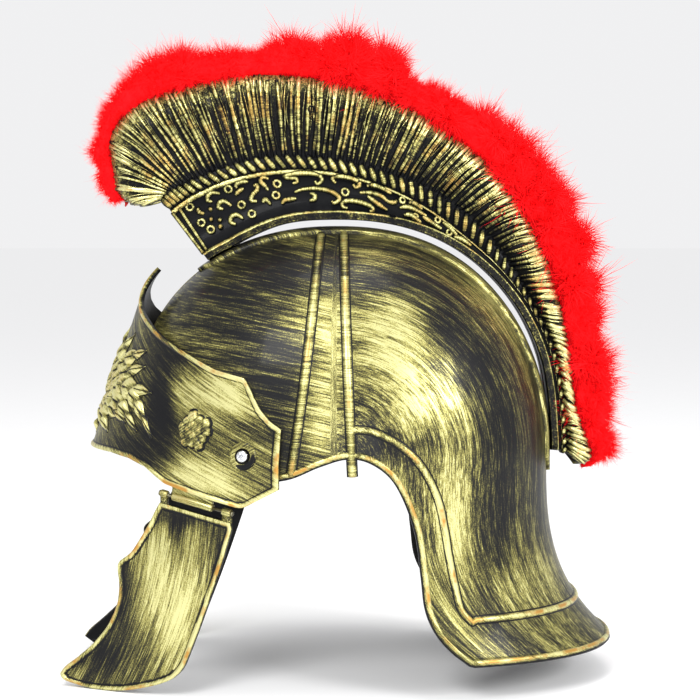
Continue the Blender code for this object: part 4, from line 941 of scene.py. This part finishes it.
def makeScrew(side, name):
    skin = Skin("browScrew" + name.title())
    seat = plate["bossHeight"] + plate["clearance"]
    size, height = plate["headRadius"], plate["headHeight"]

    def cross(angle, radius, lift, relief):
        arm = min(abs(math.sin(angle)), abs(math.cos(angle))) * radius
        cut = 1 - ease(0.00042, 0.00062, arm) if radius < size * 0.62 else 0
        return radius, lift - cut * 0.0009, -cut

    rings = [(plate["screwRadius"], -0.0135, 0), (plate["screwRadius"], seat, 0), (size, seat, 0),
             (size, seat + 0.3 * height, 0)]
    for i in range(1, 15):
        share = 1 - i / 14.5
        rings.append((size * share, seat + height * (0.3 + 0.7 * math.sqrt(1 - share * share)), 0))
    plateDisc(skin, side * plate["screwTurn"], plate["screwLevel"], rings, 64, cross)
    joinTo(skin.build(screwFinish), "helmet", "screw_steel", "brow_screw_" + name)


def makePin(side, name):
    pin = Skin("hingePin" + name.title())
    gap, head = plate["clearance"] / plate["hingeLength"], plate["pinHead"] / plate["hingeLength"]
    end = ((gap + head, 0.0007), (gap + head * 0.7, 0.0014), (gap, 0.0016), (gap, plate["pinRadius"]))
    profile = [(-past, radius) for past, radius in end] + [(1 + past, radius) for past, radius in reversed(end)]
    hingeTurned(pin, side, profile, 24, 0)
    joinTo(pin.build(hingeFinish), "helmet", "hinge_steel", "hinge_pin_" + name)


for side, name in bothSides:
    makeScrew(side, name)
    makePin(side, name)
print("screws and pins made")

# cheek guards, in the upright plane through the hinge
guard = {
    "length": 0.1050, "width": 0.0980, "wall": 0.0020, "topGap": 0.0050, "bulge": 0.0018,
    "rimWidth": 0.0024, "rimHeight": 0.0011, "groove": 0.0009, "rows": 130, "webWall": 0.0018,
    "webShare": 0.060,
    # close rows below the hinge and close columns along the edges, as shares of the length and the width
    "topSteps": (0, 0.0025, 0.005, 0.0075, 0.010, 0.0125, 0.015, 0.0175, 0.020, 0.0225),
    "sideSteps": (0, 0.010, 0.021, 0.032, 0.043, 0.054, 0.066, 0.080, 0.098, 0.12),
    "knuckles": ((0.0, 0.10), (0.88, 1.0)),
    # edges from the hinge down: (along as a share of width, down as a share of length)
    "rearEdge": ((0.000, 0.048), (-0.002, 0.087), (0.024, 0.161), (0.048, 0.235), (0.093, 0.348),
                 (0.142, 0.469), (0.201, 0.606), (0.264, 0.744), (0.289, 0.791), (0.327, 0.831),
                 (0.382, 0.866), (0.503, 0.907), (0.675, 0.942), (0.871, 0.947), (1.012, 0.927)),
    "frontEdge": ((0.424, -0.032), (0.452, 0.011), (0.493, 0.081), (0.550, 0.161), (0.604, 0.229),
                  (0.678, 0.283), (0.688, 0.324), (0.681, 0.376), (0.681, 0.432), (0.698, 0.512),
                  (0.755, 0.615), (0.836, 0.704), (0.933, 0.782), (1.025, 0.846), (1.062, 0.888)),
    # spots of brush wear with painted shade among them; the large bright first spot is a painted highlight: (y,
    # z, reach along, reach up, gold)
    "wear": ((-0.085, -0.078, 0.016, 0.036, 0.95), (-0.130, -0.106, 0.020, 0.009, -0.50),
             (-0.114, -0.070, 0.006, 0.020, -0.30), (-0.100, -0.024, 0.010, 0.010, -0.35),
             (-0.080, -0.030, 0.012, 0.004, -0.60), (-0.094, -0.050, 0.007, 0.014, 0.30),
             (-0.084, -0.036, 0.004, 0.008, -0.50), (-0.104, -0.092, 0.010, 0.008, -0.20)),
}


def makeLugs(skin, side, outward):  # outer knuckles, each on a web down to the guard
    for start, end in guard["knuckles"]:
        hingeTurned(skin, side, knuckle(start, end))
        half = outward * guard["webWall"] / 2
        rings = []
        for share in (start, end):
            top = hingePlace(share, side) - up * 0.0015
            low = top - up * guard["webShare"] * guard["length"]
            rings.append([skin.add(p, 0.2) for p in (top + half, top - half, low - half, low + half)])
        skin.loft(rings)


def makeGuard(side, name):
    skin = Skin("cheekGuard" + name.title(), wearAndPaintedLightOn(guard))
    run = hingePlace(0, side) - hingePlace(1, side)
    forward = Vector((run.x, run.y, 0)).normalized()
    outward = (forward.cross(up) * -side).normalized()
    rear = hingePlace(1, side)

    def place(along, down):
        return rear + forward * along * guard["width"] - up * down * guard["length"]

    steps = list(guard["topSteps"]) + spread(guard["topSteps"][-1], 1, guard["rows"])[1:]
    rearEdge = ((0.0, guard["topGap"] / guard["length"]),) + guard["rearEdge"][1:]
    frontTop = (run.dot(forward) / guard["width"], (guard["topGap"] - run.z) / guard["length"])
    frontEdge = (frontTop,) + guard["frontEdge"][1:]
    rearLine, frontLine = ([curvePoint(edge, s) for s in steps] for edge in (rearEdge, frontEdge))
    outline = [Vector((a * guard["width"], -d * guard["length"])) for a, d in rearLine + frontLine[::-1]]

    def edgeDistance(x, y):
        spot = Vector((x, y))
        best = 1.0
        for a, b in zip(outline, outline[1:] + outline[:1]):
            span = b - a
            t = clamp((spot - a).dot(span) / max(span.length_squared, 1e-12))
            best = min(best, (a + span * t - spot).length_squared)
        return math.sqrt(best)

    front, back = [], []
    low = guard["sideSteps"]
    shares = list(low) + spread(low[-1], 1 - low[-1], 24)[1:-1] + [1 - s for s in reversed(low)]
    for (a0, d0), (a1, d1) in zip(rearLine, frontLine):
        outRow, inRow = [], []
        for s in shares:
            along, down = mix(a0, a1, s), mix(d0, d1, s)
            distance = edgeDistance(along * guard["width"], -down * guard["length"])
            rise, raised = rimShape(distance, guard, 0.25, -1.2)
            crown = guard["bulge"] * (1 - (2 * s - 1) ** 2) * ease(0.03, 0.3, down)
            point = place(along, down) + outward * (guard["wall"] / 2 + crown)
            strokes = (down * 0.105 + along * 0.018, along * 0.098 - down * down * 0.035, side)
            outRow.append(skin.add(point + outward * guard["rimHeight"] * (rise - 0.2), raised, strokes))
            inRow.append(skin.add(point - outward * guard["wall"], -1.6, strokes))
        front.append(outRow)
        back.append(inRow)
    skin.panel(front, back)
    makeLugs(skin, side, outward)
    joinTo(skin.build(goldFinish), "guard_" + name, "antique_gold", "cheek_guard_" + name)


for side, name in bothSides:
    makeGuard(side, name)
print("cheek guards made")

# crest: turns about its centre in degrees, + to the rear, and heights above the track as shares of its height
crest = {
    "centre": 0.0100, "height": 0.0930, "lift": 0.0036, "baseHalf": 0.0160, "seatGap": 0.0004,
    "endShare": 0.055, "stations": 220, "seed": 5, "ribs": 104, "ribWidth": 0.00138, "hairWidth": 0.00050,
    "scallops": 57,
    # painted highlight: far more gold at the bristle ends than lower down
    "scallopWidth": 0.00200, "scrollWidth": 0.00128, "wander": 0.0009, "endHighlight": 1.5, "bodyGold": -0.12,
    "keys": ("turn", "lift", "strip", "waist", "rope", "fan", "brush"),
    "lines": (
        (-37.2, 0.00, 0.043, 0.361, 0.456, -39.0, 0.479), (-36.8, 0.00, 0.043, 0.361, 0.457, -42.0, 0.525),
        (-36.0, 0.00, 0.043, 0.362, 0.458, -43.0, 0.641), (-35.0, 0.00, 0.043, 0.366, 0.460, -41.2, 0.768),
        (-33.7, 0.00, 0.043, 0.369, 0.455, -38.6, 0.918), (-32.0, 0.00, 0.043, 0.372, 0.454, -35.0, 1.000),
        (-29.5, 0.05, 0.045, 0.372, 0.452, -31.0, 1.020), (-24.0, 0.40, 0.058, 0.373, 0.449, -24.0, 0.998),
        (-14.0, 1.00, 0.082, 0.355, 0.437, -12.5, 0.941), (-2.0, 1.00, 0.086, 0.318, 0.393, 0.0, 0.861),
        (10.0, 1.00, 0.082, 0.254, 0.334, 13.0, 0.749), (22.0, 1.00, 0.082, 0.180, 0.284, 26.0, 0.617),
        (34.0, 1.00, 0.082, 0.122, 0.223, 38.5, 0.494), (46.0, 1.00, 0.082, 0.105, 0.165, 50.0, 0.370),
        (58.0, 1.00, 0.082, 0.103, 0.125, 62.0, 0.266), (70.0, 0.80, 0.074, 0.096, 0.117, 74.0, 0.197),
        (80.0, 0.30, 0.055, 0.076, 0.098, 83.0, 0.164), (88.0, 0.00, 0.043, 0.065, 0.086, 90.0, 0.203),
        (92.0, 0.00, 0.043, 0.065, 0.086, 94.5, 0.249), (94.5, 0.00, 0.043, 0.065, 0.086, 97.5, 0.245),
        (96.0, 0.00, 0.043, 0.065, 0.086, 99.0, 0.160)),
    # ornament on the band, (turn, share of the band's height)
    "rings": ((-33.4, 0.86), (-33.2, 0.51), (-32.2, 0.32), (-24.3, 0.84), (-23.0, 0.48), (-21.5, 0.25),
              (-13.7, 0.72), (-14.6, 0.48), (1.9, 0.54), (15.8, 0.80), (20.0, 0.30), (25.5, 0.75),
              (29.5, 0.35)),
    "scrolls": (
        ((-28.6, 0.75), (-29.3, 0.80), (-29.0, 0.87), (-27.8, 0.90), (-26.3, 0.82)),
        ((-22.5, 0.81), (-22.3, 0.88), (-20.9, 0.90), (-19.7, 0.87)),
        ((-23.4, 0.69), (-22.4, 0.74), (-21.1, 0.77)),
        ((-27.2, 0.54), (-28.0, 0.60), (-27.4, 0.67), (-26.2, 0.66), (-25.2, 0.53)),
        ((-19.3, 0.45), (-20.5, 0.50), (-19.7, 0.60), (-18.4, 0.67), (-18.1, 0.77), (-18.9, 0.76)),
        ((-15.3, 0.85), (-16.4, 0.90), (-17.1, 0.82), (-16.5, 0.73), (-16.0, 0.61)),
        ((-18.1, 0.39), (-17.2, 0.44), (-16.4, 0.31)),
        ((-13.7, 0.27), (-12.9, 0.34), (-11.3, 0.35), (-10.0, 0.35)),
        ((-10.3, 0.70), (-9.2, 0.72), (-9.3, 0.81), (-10.6, 0.82), (-11.7, 0.87), (-9.4, 0.92), (-5.9, 0.93),
         (-3.9, 0.88), (-3.5, 0.77), (-4.6, 0.68), (-5.1, 0.75)),
        ((-10.2, 0.49), (-8.2, 0.55), (-4.9, 0.57), (-1.7, 0.52), (0.1, 0.42), (0.5, 0.32), (-0.7, 0.22),
         (-1.4, 0.27)),
        ((-6.6, 0.46), (-5.5, 0.41), (-5.7, 0.31), (-6.9, 0.28)),
        ((-26.2, 0.19), (-27.1, 0.27), (-26.3, 0.35), (-24.9, 0.34), (-24.0, 0.23)),
        ((-32.0, 0.77), (-32.3, 0.70), (-31.5, 0.62)), ((-30.2, 0.67), (-29.4, 0.62)),
        ((-31.2, 0.51), (-30.5, 0.45)), ((-29.5, 0.43), (-28.8, 0.37)), ((-30.4, 0.26), (-29.3, 0.31)),
        ((-0.3, 0.74), (-1.1, 0.84), (-0.1, 0.92), (2.3, 0.95), (4.5, 0.92), (5.2, 0.81), (4.3, 0.72),
         (3.7, 0.80)),
        ((6.9, 0.83), (7.9, 0.92), (10.2, 0.93), (12.9, 0.86)),
        ((2.7, 0.10), (1.4, 0.14), (1.4, 0.26), (3.3, 0.32), (6.0, 0.31), (8.5, 0.24), (9.3, 0.12),
         (8.4, 0.08)),
        ((12.3, 0.54), (10.6, 0.66), (8.0, 0.67), (5.4, 0.59)), ((7.3, 0.55), (9.8, 0.39), (12.8, 0.22)),
        ((12.3, 0.54), (13.9, 0.57), (14.6, 0.70)), ((17.4, 0.82), (18.8, 0.92), (21.1, 0.84)),
        ((15.6, 0.45), (18.2, 0.64), (22.6, 0.60)), ((17.2, 0.20), (19.0, 0.30), (22.0, 0.10)),
        ((21.8, 0.48), (24.0, 0.40), (27.4, 0.28)), ((26.8, 0.82), (29.0, 0.80), (31.6, 0.55)),
        ((31.0, 0.20), (33.0, 0.50), (36.0, 0.55))),
    "frame": (((-37.1, 0.00), (-37.1, 0.97)), ((-35.9, 0.04), (-35.4, 0.97))),
    "shadedWells": ((-5.6, 3.58), (14.4, 1.04)),  # two holes given as wells painted dark for their shade: (turn, height), and their rings below as (radius, how proud)
    "wellRings": ((0.0021, -0.0010), (0.0021, 0.0019), (0.0017, 0.0021), (0.0015, 0.0012), (0.0004, 0.0010)),
}


def crestRow(share):
    return dict(zip(crest["keys"], curvePoint(crest["lines"], share)))


def crestPlace(turn, radius, x=0.0):
    angle = math.radians(turn)
    return Vector((x, radius * math.sin(angle), crest["centre"] + radius * math.cos(angle)))


def crestSeat(turn):
    radius = 0.0
    for x in (0.5 * bowl["trackHalf"], crest["baseHalf"]):
        point = bowlOver(turn, x)
        point = point + bowlNormal(point) * bowl["trackHeight"]
        radius = max(radius, math.hypot(point.y, point.z - crest["centre"]))
    return radius + crest["seatGap"]


seatRows = [(turn, crestSeat(turn)) for turn in range(-46, 106, 2)]


def brushEdge(share):
    row = crestRow(share)
    return crestPlace(row["fan"], readTable(seatRows, row["turn"]) + row["brush"] * crest["height"])


def crestShares(count):  # shares that space the bristles evenly
    fine = 600
    spots = []
    for i in range(fine + 1):
        row = crestRow(i / fine)
        rope = crestPlace(row["turn"], readTable(seatRows, row["turn"]) + row["rope"] * crest["height"])
        spots.append((brushEdge(i / fine) + rope) / 2)  # half way up the brush
    lengths = [0.0]
    for a, b in zip(spots, spots[1:]):
        lengths.append(lengths[-1] + (b - a).length)
    shares, i = [], 0
    for k in range(count + 1):
        goal = lengths[-1] * k / count
        while i < fine - 1 and lengths[i + 1] < goal:
            i += 1
        shares.append((i + (goal - lengths[i]) / (lengths[i + 1] - lengths[i])) / fine)
    return shares


def shareAt(turn):  # share of the crest at a turn
    low, high = 0.0, 1.0
    for _ in range(24):
        middle = (low + high) / 2
        low, high = (middle, high) if crestRow(middle)["turn"] < turn else (low, middle)
    return low


def endRound(share):
    part = min(share / crest["endShare"], 1.0)
    return math.sqrt(max(1 - (1 - part) ** 2, 0.0))


# (height, half width, relief) up the crest: height 0 base, 1 strip, 2 waist, 3 rope, 4 bristle ends
crestProfile = (
    (0.0, 0.0158, -0.4), (0.12, 0.0160, 0.2), (0.25, 0.0160, -0.2), (0.80, 0.0160, -0.1), (0.90, 0.0160, 0.8),
    (1.0, 0.0157, 1.3), (1.03, 0.0150, 0.3), (1.05, 0.0136, -1.6), (1.50, 0.0135, -1.6), (1.90, 0.0136, -1.6),
    (1.93, 0.0148, 0.6), (1.98, 0.0151, 1.4), (2.05, 0.0147, 0.2), (2.12, 0.0140, -1.5), (2.5, 0.0144, -1.5),
    (2.85, 0.0138, -1.5), (3.0, 0.0132, -1.7), (3.08, 0.0142, -1.2), (3.2, 0.0162, -0.7), (3.35, 0.0177, -0.6),
    (3.5, 0.0180, -0.5), (3.65, 0.0179, -0.3), (3.8, 0.0170, 0.3), (3.9, 0.0137, 0.6), (3.96, 0.0095, 0.6),
    (4.0, 0.0052, 0.3))
crestWidths = [(height, width) for height, width, _ in crestProfile]


class CrestCut:  # one section of the crest
    def __init__(self, share):
        row = crestRow(share)
        self.turn, self.fan = row["turn"], row["fan"]
        seat = readTable(seatRows, row["turn"])
        self.levels = [seat + max(row["lift"], 0) * crest["lift"]]
        self.levels += [seat + row[key] * crest["height"] for key in ("strip", "waist", "rope", "brush")]
        self.close = endRound(min(share, 1 - share))
        self.bandClose = endRound(1 - share)

    def at(self, height, proud=0.0, inner=False):
        i = min(int(height), 3)
        radius = mix(self.levels[i], self.levels[i + 1], height - i)
        lean = max(height - 3, 0.0)
        shut = mix(self.bandClose, self.close, ease(2.0, 3.1, height))
        x = 0.0 if inner else max(readTable(crestWidths, height) * shut + proud, 0.0)
        return crestPlace(mix(self.turn, self.fan, lean), radius, 0.00015 + x)


def makeCrestShell(side, name):
    skin = Skin("crestShell" + name.title())
    rings = []
    for share in crestShares(crest["stations"]):
        cut = CrestCut(share)
        ring = [(cut.at(height), relief) for height, _, relief in crestProfile]
        ring += [(cut.at(height, 0.0, True), -1.6)
                 for height in (4.0, 3.75, 3.5, 3.25, 3.0, 2.5, 2.0, 1.5, 1.0, 0.5, 0.0)]
        rings.append([skin.add(flipped(p, side), relief) for p, relief in ring])
    skin.loft(rings)
    for turn, height in crest["shadedWells"]:  # painted shade: a raised dish with a thin lip, coloured black for the shadowed inside of a hole
        cut = CrestCut(shareAt(turn))
        rise = (cut.at(height + 0.03) - cut.at(height)).normalized()
        ahead = Vector((1, 0, 0)).cross(rise).normalized()
        loops = []
        for size, proud in crest["wellRings"]:
            loop = ringRound(cut.at(height, proud), ahead, rise, size, 14)
            loops.append([skin.add(flipped(p, side), -3.0) for p in loop])
        skin.loft(loops)
    joinTo(skin.build(crestFinish), "helmet", "antique_gold", "crest_" + name)


edgeSpots = [brushEdge(i / 160) for i in range(161)]


def bristleEndHighlight(point):  # painted highlight: gold made bright at the bristle ends, darker below
    away = min(math.hypot(point[1] - spot.y, point[2] - spot.z) for spot in edgeSpots)
    return mix(crest["endHighlight"], crest["bodyGold"], ease(0.004, 0.014, away))


def growTubes(skin, width, sides, wander, seed, finish):
    piece = grown(skin.build(), tubesOnGuides, Width=width, Sides=sides, Wander=wander, Seed=seed,
                  Material=finish)
    joinTo(piece, "helmet", "antique_gold")


def makeBristles(side, name):
    dice = random.Random(crest["seed"] + side)
    shares = crestShares(crest["ribs"])
    thick = Skin("crestRibs" + name.title(), bristleEndHighlight)
    hairs = Skin("crestHairs" + name.title(), bristleEndHighlight)

    def bristle(skin, share, low, high, drift, sway, size, proud, stations, mark):
        points, sizes = [], []
        for i in range(stations):
            t = i / (stations - 1)
            height = mix(low, high, t)
            here = clamp(share + drift * t + sway * math.sin(math.pi * t), 0.0008, 0.9992)
            point = CrestCut(here).at(height, proud)
            points.append((side * max(point.x, 0.0004), point.y, point.z))
            sizes.append(size * (0.70 + 0.45 * math.sin(math.pi * (0.12 + 0.80 * t))))
        skin.line(points, sizes, False, (mark * 0.013, mark * 0.007))

    step = 1 / crest["ribs"]
    for k in range(1, crest["ribs"]):
        share = shares[k] + dice.uniform(-0.12, 0.12) * step
        gap = shares[min(k + 1, crest["ribs"])] - shares[k]
        size, sway = dice.uniform(0.62, 1.18), dice.uniform(-0.4, 0.4) * gap
        top = dice.choice((4.0, 4.0, 3.97, 3.9))
        bristle(thick, share, 3.02, top, dice.uniform(-0.2, 0.2) * gap, sway, size, 0.0, 12, k)
        if dice.random() < 0.45:  # forked
            fork = dice.uniform(3.25, 3.5)
            bristle(thick, share, fork, 4.0, dice.choice((-0.5, 0.5)) * gap, 0.0, 0.6, 0.0, 9, k + 0.5)
        for _ in range(2):
            low = dice.uniform(3.05, 3.4)
            bristle(hairs, share + dice.uniform(0.2, 0.8) * gap, low, dice.uniform(3.75, 4.0),
                    dice.uniform(-0.5, 0.5) * gap, sway, dice.uniform(0.6, 1.4), 0.0007, 8, k + dice.random())
    growTubes(thick, crest["ribWidth"], 7, crest["wander"], 3, bristleFinish)
    growTubes(hairs, crest["hairWidth"], 4, crest["wander"], 4, bristleFinish)


def makeOrnament(side, name):
    dice = random.Random(crest["seed"])
    skin = Skin("crestOrnament" + name.title())

    def onBand(turn, level, proud=0.0002):
        point = CrestCut(shareAt(turn)).at(1 + clamp(level, 0.02, 0.96), proud)
        return Vector(flipped(point, side))

    for turn, level in crest["rings"]:
        centre = onBand(turn, level)
        ahead = (onBand(turn + 0.5, level) - centre).normalized()
        rise = (onBand(turn, level + 0.05) - centre).normalized()
        size = 0.0019 if turn < 14 else 0.0015
        skin.line(ringRound(centre, ahead, rise, size, 10), [0.75] * 10, True, (turn * 0.01, level * 0.01))
    for scroll in crest["scrolls"]:
        count = 6 * len(scroll)
        line = [onBand(*spot) for spot in curvePoints(scroll, count)]
        swell = [0.75 + 0.55 * math.sin(math.pi * t) for t in spread(0, 1, count - 1)]
        skin.line(line, swell, False, (scroll[0][0] * 0.01, 0.0))
    for foot, head in crest["frame"]:
        line = [onBand(mix(foot[0], head[0], t), mix(foot[1], head[1], t)) for t in spread(0, 1, 11)]
        skin.line(line, [0.9] * 12, False, (0.0, 0.0))
    growTubes(skin, crest["scrollWidth"], 8, 0.0, 1, crestFinish)

    rope = Skin("crestRope" + name.title())
    shares = crestShares(crest["scallops"])
    for k, share in enumerate(shares[:-1]):
        gap = shares[k + 1] - share
        line, sizes = [], []
        for t in spread(0, 1, 6):
            cut = CrestCut(clamp(share + gap * mix(0.95, 0.25, t), 0.001, 0.999))
            point = cut.at(mix(2.14, 3.02, t), 0.0002 + 0.0008 * math.sin(math.pi * t))
            line.append((side * max(point.x, 0.0004), point.y, point.z))
            slimmer = 1.0 if share < 0.62 else 0.72
            sizes.append((0.72 + 0.28 * math.sin(math.pi * t)) * slimmer * dice.uniform(0.92, 1.08))
        rope.line(line, sizes, False, (k * 0.011, 0.0))
    growTubes(rope, crest["scallopWidth"], 8, 0.0, 2, crestFinish)


for side, name in bothSides:
    makeCrestShell(side, name)
    makeBristles(side, name)
    makeOrnament(side, name)
print("crest made")

# feather trim
trim = {
    "seed": 11, "start": 0.075, "stations": 170, "sides": 26, "halfWidth": 0.0125, "coreShare": 0.66,
    "sink": 0.0022,
    "lean": 0.85, "clump": 75.0, "quickShare": 0.15,
    # what is strewn: how many on each square metre, shortest, longest, and barbs, how far spread, width, seed
    "tuft": (330000.0, 0.20, 0.46, (7, 0.8, 0.018, 3)), "wisp": (85000.0, 0.35, 0.66, (7, 0.55, 0.007, 8)),
    # how far the marabou stands out from the bristle ends: (share of the crest, metres)
    "tall": ((0.00, 0.005), (0.06, 0.006), (0.10, 0.009), (0.15, 0.015), (0.22, 0.012), (0.30, 0.018),
             (0.34, 0.022), (0.40, 0.017), (0.44, 0.027), (0.467, 0.034), (0.50, 0.025), (0.535, 0.022),
             (0.57, 0.028), (0.64, 0.031), (0.70, 0.030), (0.735, 0.023), (0.77, 0.026), (0.86, 0.023),
             (0.91, 0.020), (0.94, 0.010), (1.0, 0.004)),
}


def trimFrame(share):  # foot of the marabou on the bristle ends, and the way out from them
    way = (brushEdge(min(share + 0.004, 1)) - brushEdge(max(share - 0.004, 0))).normalized()
    out = Vector((1, 0, 0)).cross(way)
    angle = math.radians(crestRow(share)["fan"])
    if out.dot(Vector((0, math.sin(angle), math.cos(angle)))) < 0:
        out = -out
    return brushEdge(share) - out * 0.0010, out


def makeTuft(name, barbs, fan, thick, seed):  # one long, bent to one side; a few dozen faces
    dice = random.Random(seed)
    tuft = Skin(name)
    for _ in range(barbs):
        turn, tilt = dice.uniform(0, math.tau), dice.uniform(0.05, fan)
        length, curl = dice.uniform(0.45, 1.0), dice.uniform(0.1, 0.6)
        way = Vector((math.cos(turn) * math.sin(tilt), math.sin(turn) * math.sin(tilt), math.cos(tilt)))
        bend = Vector((1.0, 0.3 * math.sin(turn), 0.0)) * curl
        across = way.cross(bend).normalized() * thick
        rows = []
        for i in range(3):
            t = i / 3
            middle = (way * t + bend * t * t) * length
            # painted shade: relief rises from the root to the tip, so the barb is painted darker red deep in
            # the fluff
            wide, depth = across * (1 - 0.25 * i), 0.15 + 0.28 * i
            rows.append((tuft.add(middle - wide, depth), tuft.add(middle + wide, depth)))
        tip = tuft.add((way + bend) * length, 1.0)
        for (a, b), (c, d) in zip(rows, rows[1:]):
            tuft.faces.append((a, b, d, c))
        tuft.faces.append((rows[-1][0], rows[-1][1], tip))
    return tuft.build(featherFinish)


def trimRings():  # rings of the core, each point with how long the tufts grow there
    dice = random.Random(trim["seed"])
    rings = []
    for share in crestShares(trim["stations"])[:-1]:
        if share <= trim["start"]:
            continue
        foot, out = trimFrame(share)
        tall = readTable(trim["tall"], share) * dice.uniform(0.94, 1.06)
        half = trim["halfWidth"] * clamp(tall / 0.020, 0.35, 1.1)
        ring = []
        for i in range(trim["sides"]):
            bearing = math.tau * i / trim["sides"]
            wide = math.copysign(abs(math.sin(bearing)) ** 0.7, math.sin(bearing)) * half
            rise = (0.5 + 0.5 * math.cos(bearing)) * tall * trim["coreShare"]
            clump = noise.noise((foot + out * rise + Vector((wide, 0, 0))) * trim["clump"])
            clump += dice.uniform(-0.10, 0.10)
            rise *= 1 + (0.35 * clump if math.cos(bearing) > 0 else 0)
            sunk = out * trim["sink"] * (1 - math.cos(bearing)) * 0.5
            point = foot + out * rise + Vector((wide * (1 + 0.15 * clump), 0, 0)) - sunk
            ring.append((point, tall * (1 + 1.1 * clump)))
        rings.append(ring)
    return rings


def makeCore(name, rings, finish=None):
    core = Skin(name)
    # painted shade: the core keeps a low relief, so it is painted darker red under the barbs
    core.loft([[core.add(point, 0.25, None, tall) for point, tall in ring] for ring in rings])
    return core.build(finish)


def makeTrim():
    rings = trimRings()
    joinTo(makeCore("featherCore", rings, featherFinish), "helmet", "red_marabou", "feather_trim")
    quarter = len(rings) // 4
    parts = [("featherBarbs%d" % k, "tuft", rings[(k - 1) * quarter:k * quarter + 1 if k < 4 else None])
             for k in (1, 2, 3, 4)] + [("featherWisps", "wisp", rings)]
    tufts = {kind: makeTuft(kind, *trim[kind][3]) for kind in ("tuft", "wisp")}
    few = 1.0
    for seed, (name, kind, part) in enumerate(parts):
        density, shortest, longest, _ = trim[kind]
        piece = grown(makeCore(name, part), tuftsOnCore, Tuft=tufts[kind], Density=density * few,
                      Shortest=shortest, Longest=longest, Lean=trim["lean"], Seed=seed,
                      Material=featherFinish)
        joinTo(piece, "helmet", "red_marabou")
    for spare in tufts.values():
        bpy.data.objects.remove(spare)


makeTrim()
print("feather trim made")

# floor, lights and camera
studio = {
    "floorLevel": -0.1256, "floorSize": 60.0, "lens": 94.78, "sensor": 36.0,
    "eye": (1.030, 0.007, 0.11816), "target": (0.0, 0.007, 0.0532),
    "world": (0.95, 0.95, 0.96, 1), "worldStrength": 0.92,
    # name, place, size, power
    "lights": (("key", (0.95, -0.35, 0.75), 0.40, 8.0), ("top", (0.15, 0.10, 1.30), 0.50, 6.0),
               ("rear", (0.75, 0.85, 0.45), 0.35, 8.0), ("low", (1.10, 0.10, -0.02), 0.30, 2.0)),
    "lit": (0.0, 0.0, 0.04),
}


def facing(place, target):
    return (Vector(target) - Vector(place)).to_track_quat("-Z", "Y").to_euler()


def makeStudio():
    floorLook = Finish("paleFloor")
    grain = floorLook.noise(floorLook.place(), 40.0, 3.0, 0.5)
    pale = floorLook.blend(grain, (0.96, 0.96, 0.96, 1), (0.98, 0.98, 0.98, 1))
    floorLook.feed(Base_Color=pale, Roughness=0.9, Specular_IOR_Level=0.0)
    bpy.ops.mesh.primitive_grid_add(x_subdivisions=8, y_subdivisions=8, size=studio["floorSize"],
                                    location=(0, 0, studio["floorLevel"]))
    floor = bpy.context.object
    floor.name = "floor"
    floor.data.materials.append(floorLook.material)

    world = bpy.data.worlds.new("studio")
    bpy.context.scene.world = world
    world.use_nodes = True
    backdrop = world.node_tree.nodes["Background"]
    backdrop.inputs[0].default_value = studio["world"]
    backdrop.inputs[1].default_value = studio["worldStrength"]

    for name, place, size, power in studio["lights"]:
        light = bpy.data.lights.new(name, "AREA")
        light.energy = power
        light.size = size
        lamp = bpy.data.objects.new(name, light)
        lamp.location = place
        lamp.rotation_euler = facing(place, studio["lit"])
        bpy.context.scene.collection.objects.link(lamp)

    camera = bpy.data.objects.new("camera", bpy.data.cameras.new("camera"))
    camera.location = studio["eye"]
    camera.rotation_euler = facing(studio["eye"], studio["target"])
    camera.data.lens = studio["lens"]
    camera.data.sensor_width = studio["sensor"]
    bpy.context.scene.collection.objects.link(camera)
    bpy.context.scene.camera = camera
    bpy.context.scene.view_settings.view_transform = "Standard"


makeStudio()
print("studio made")
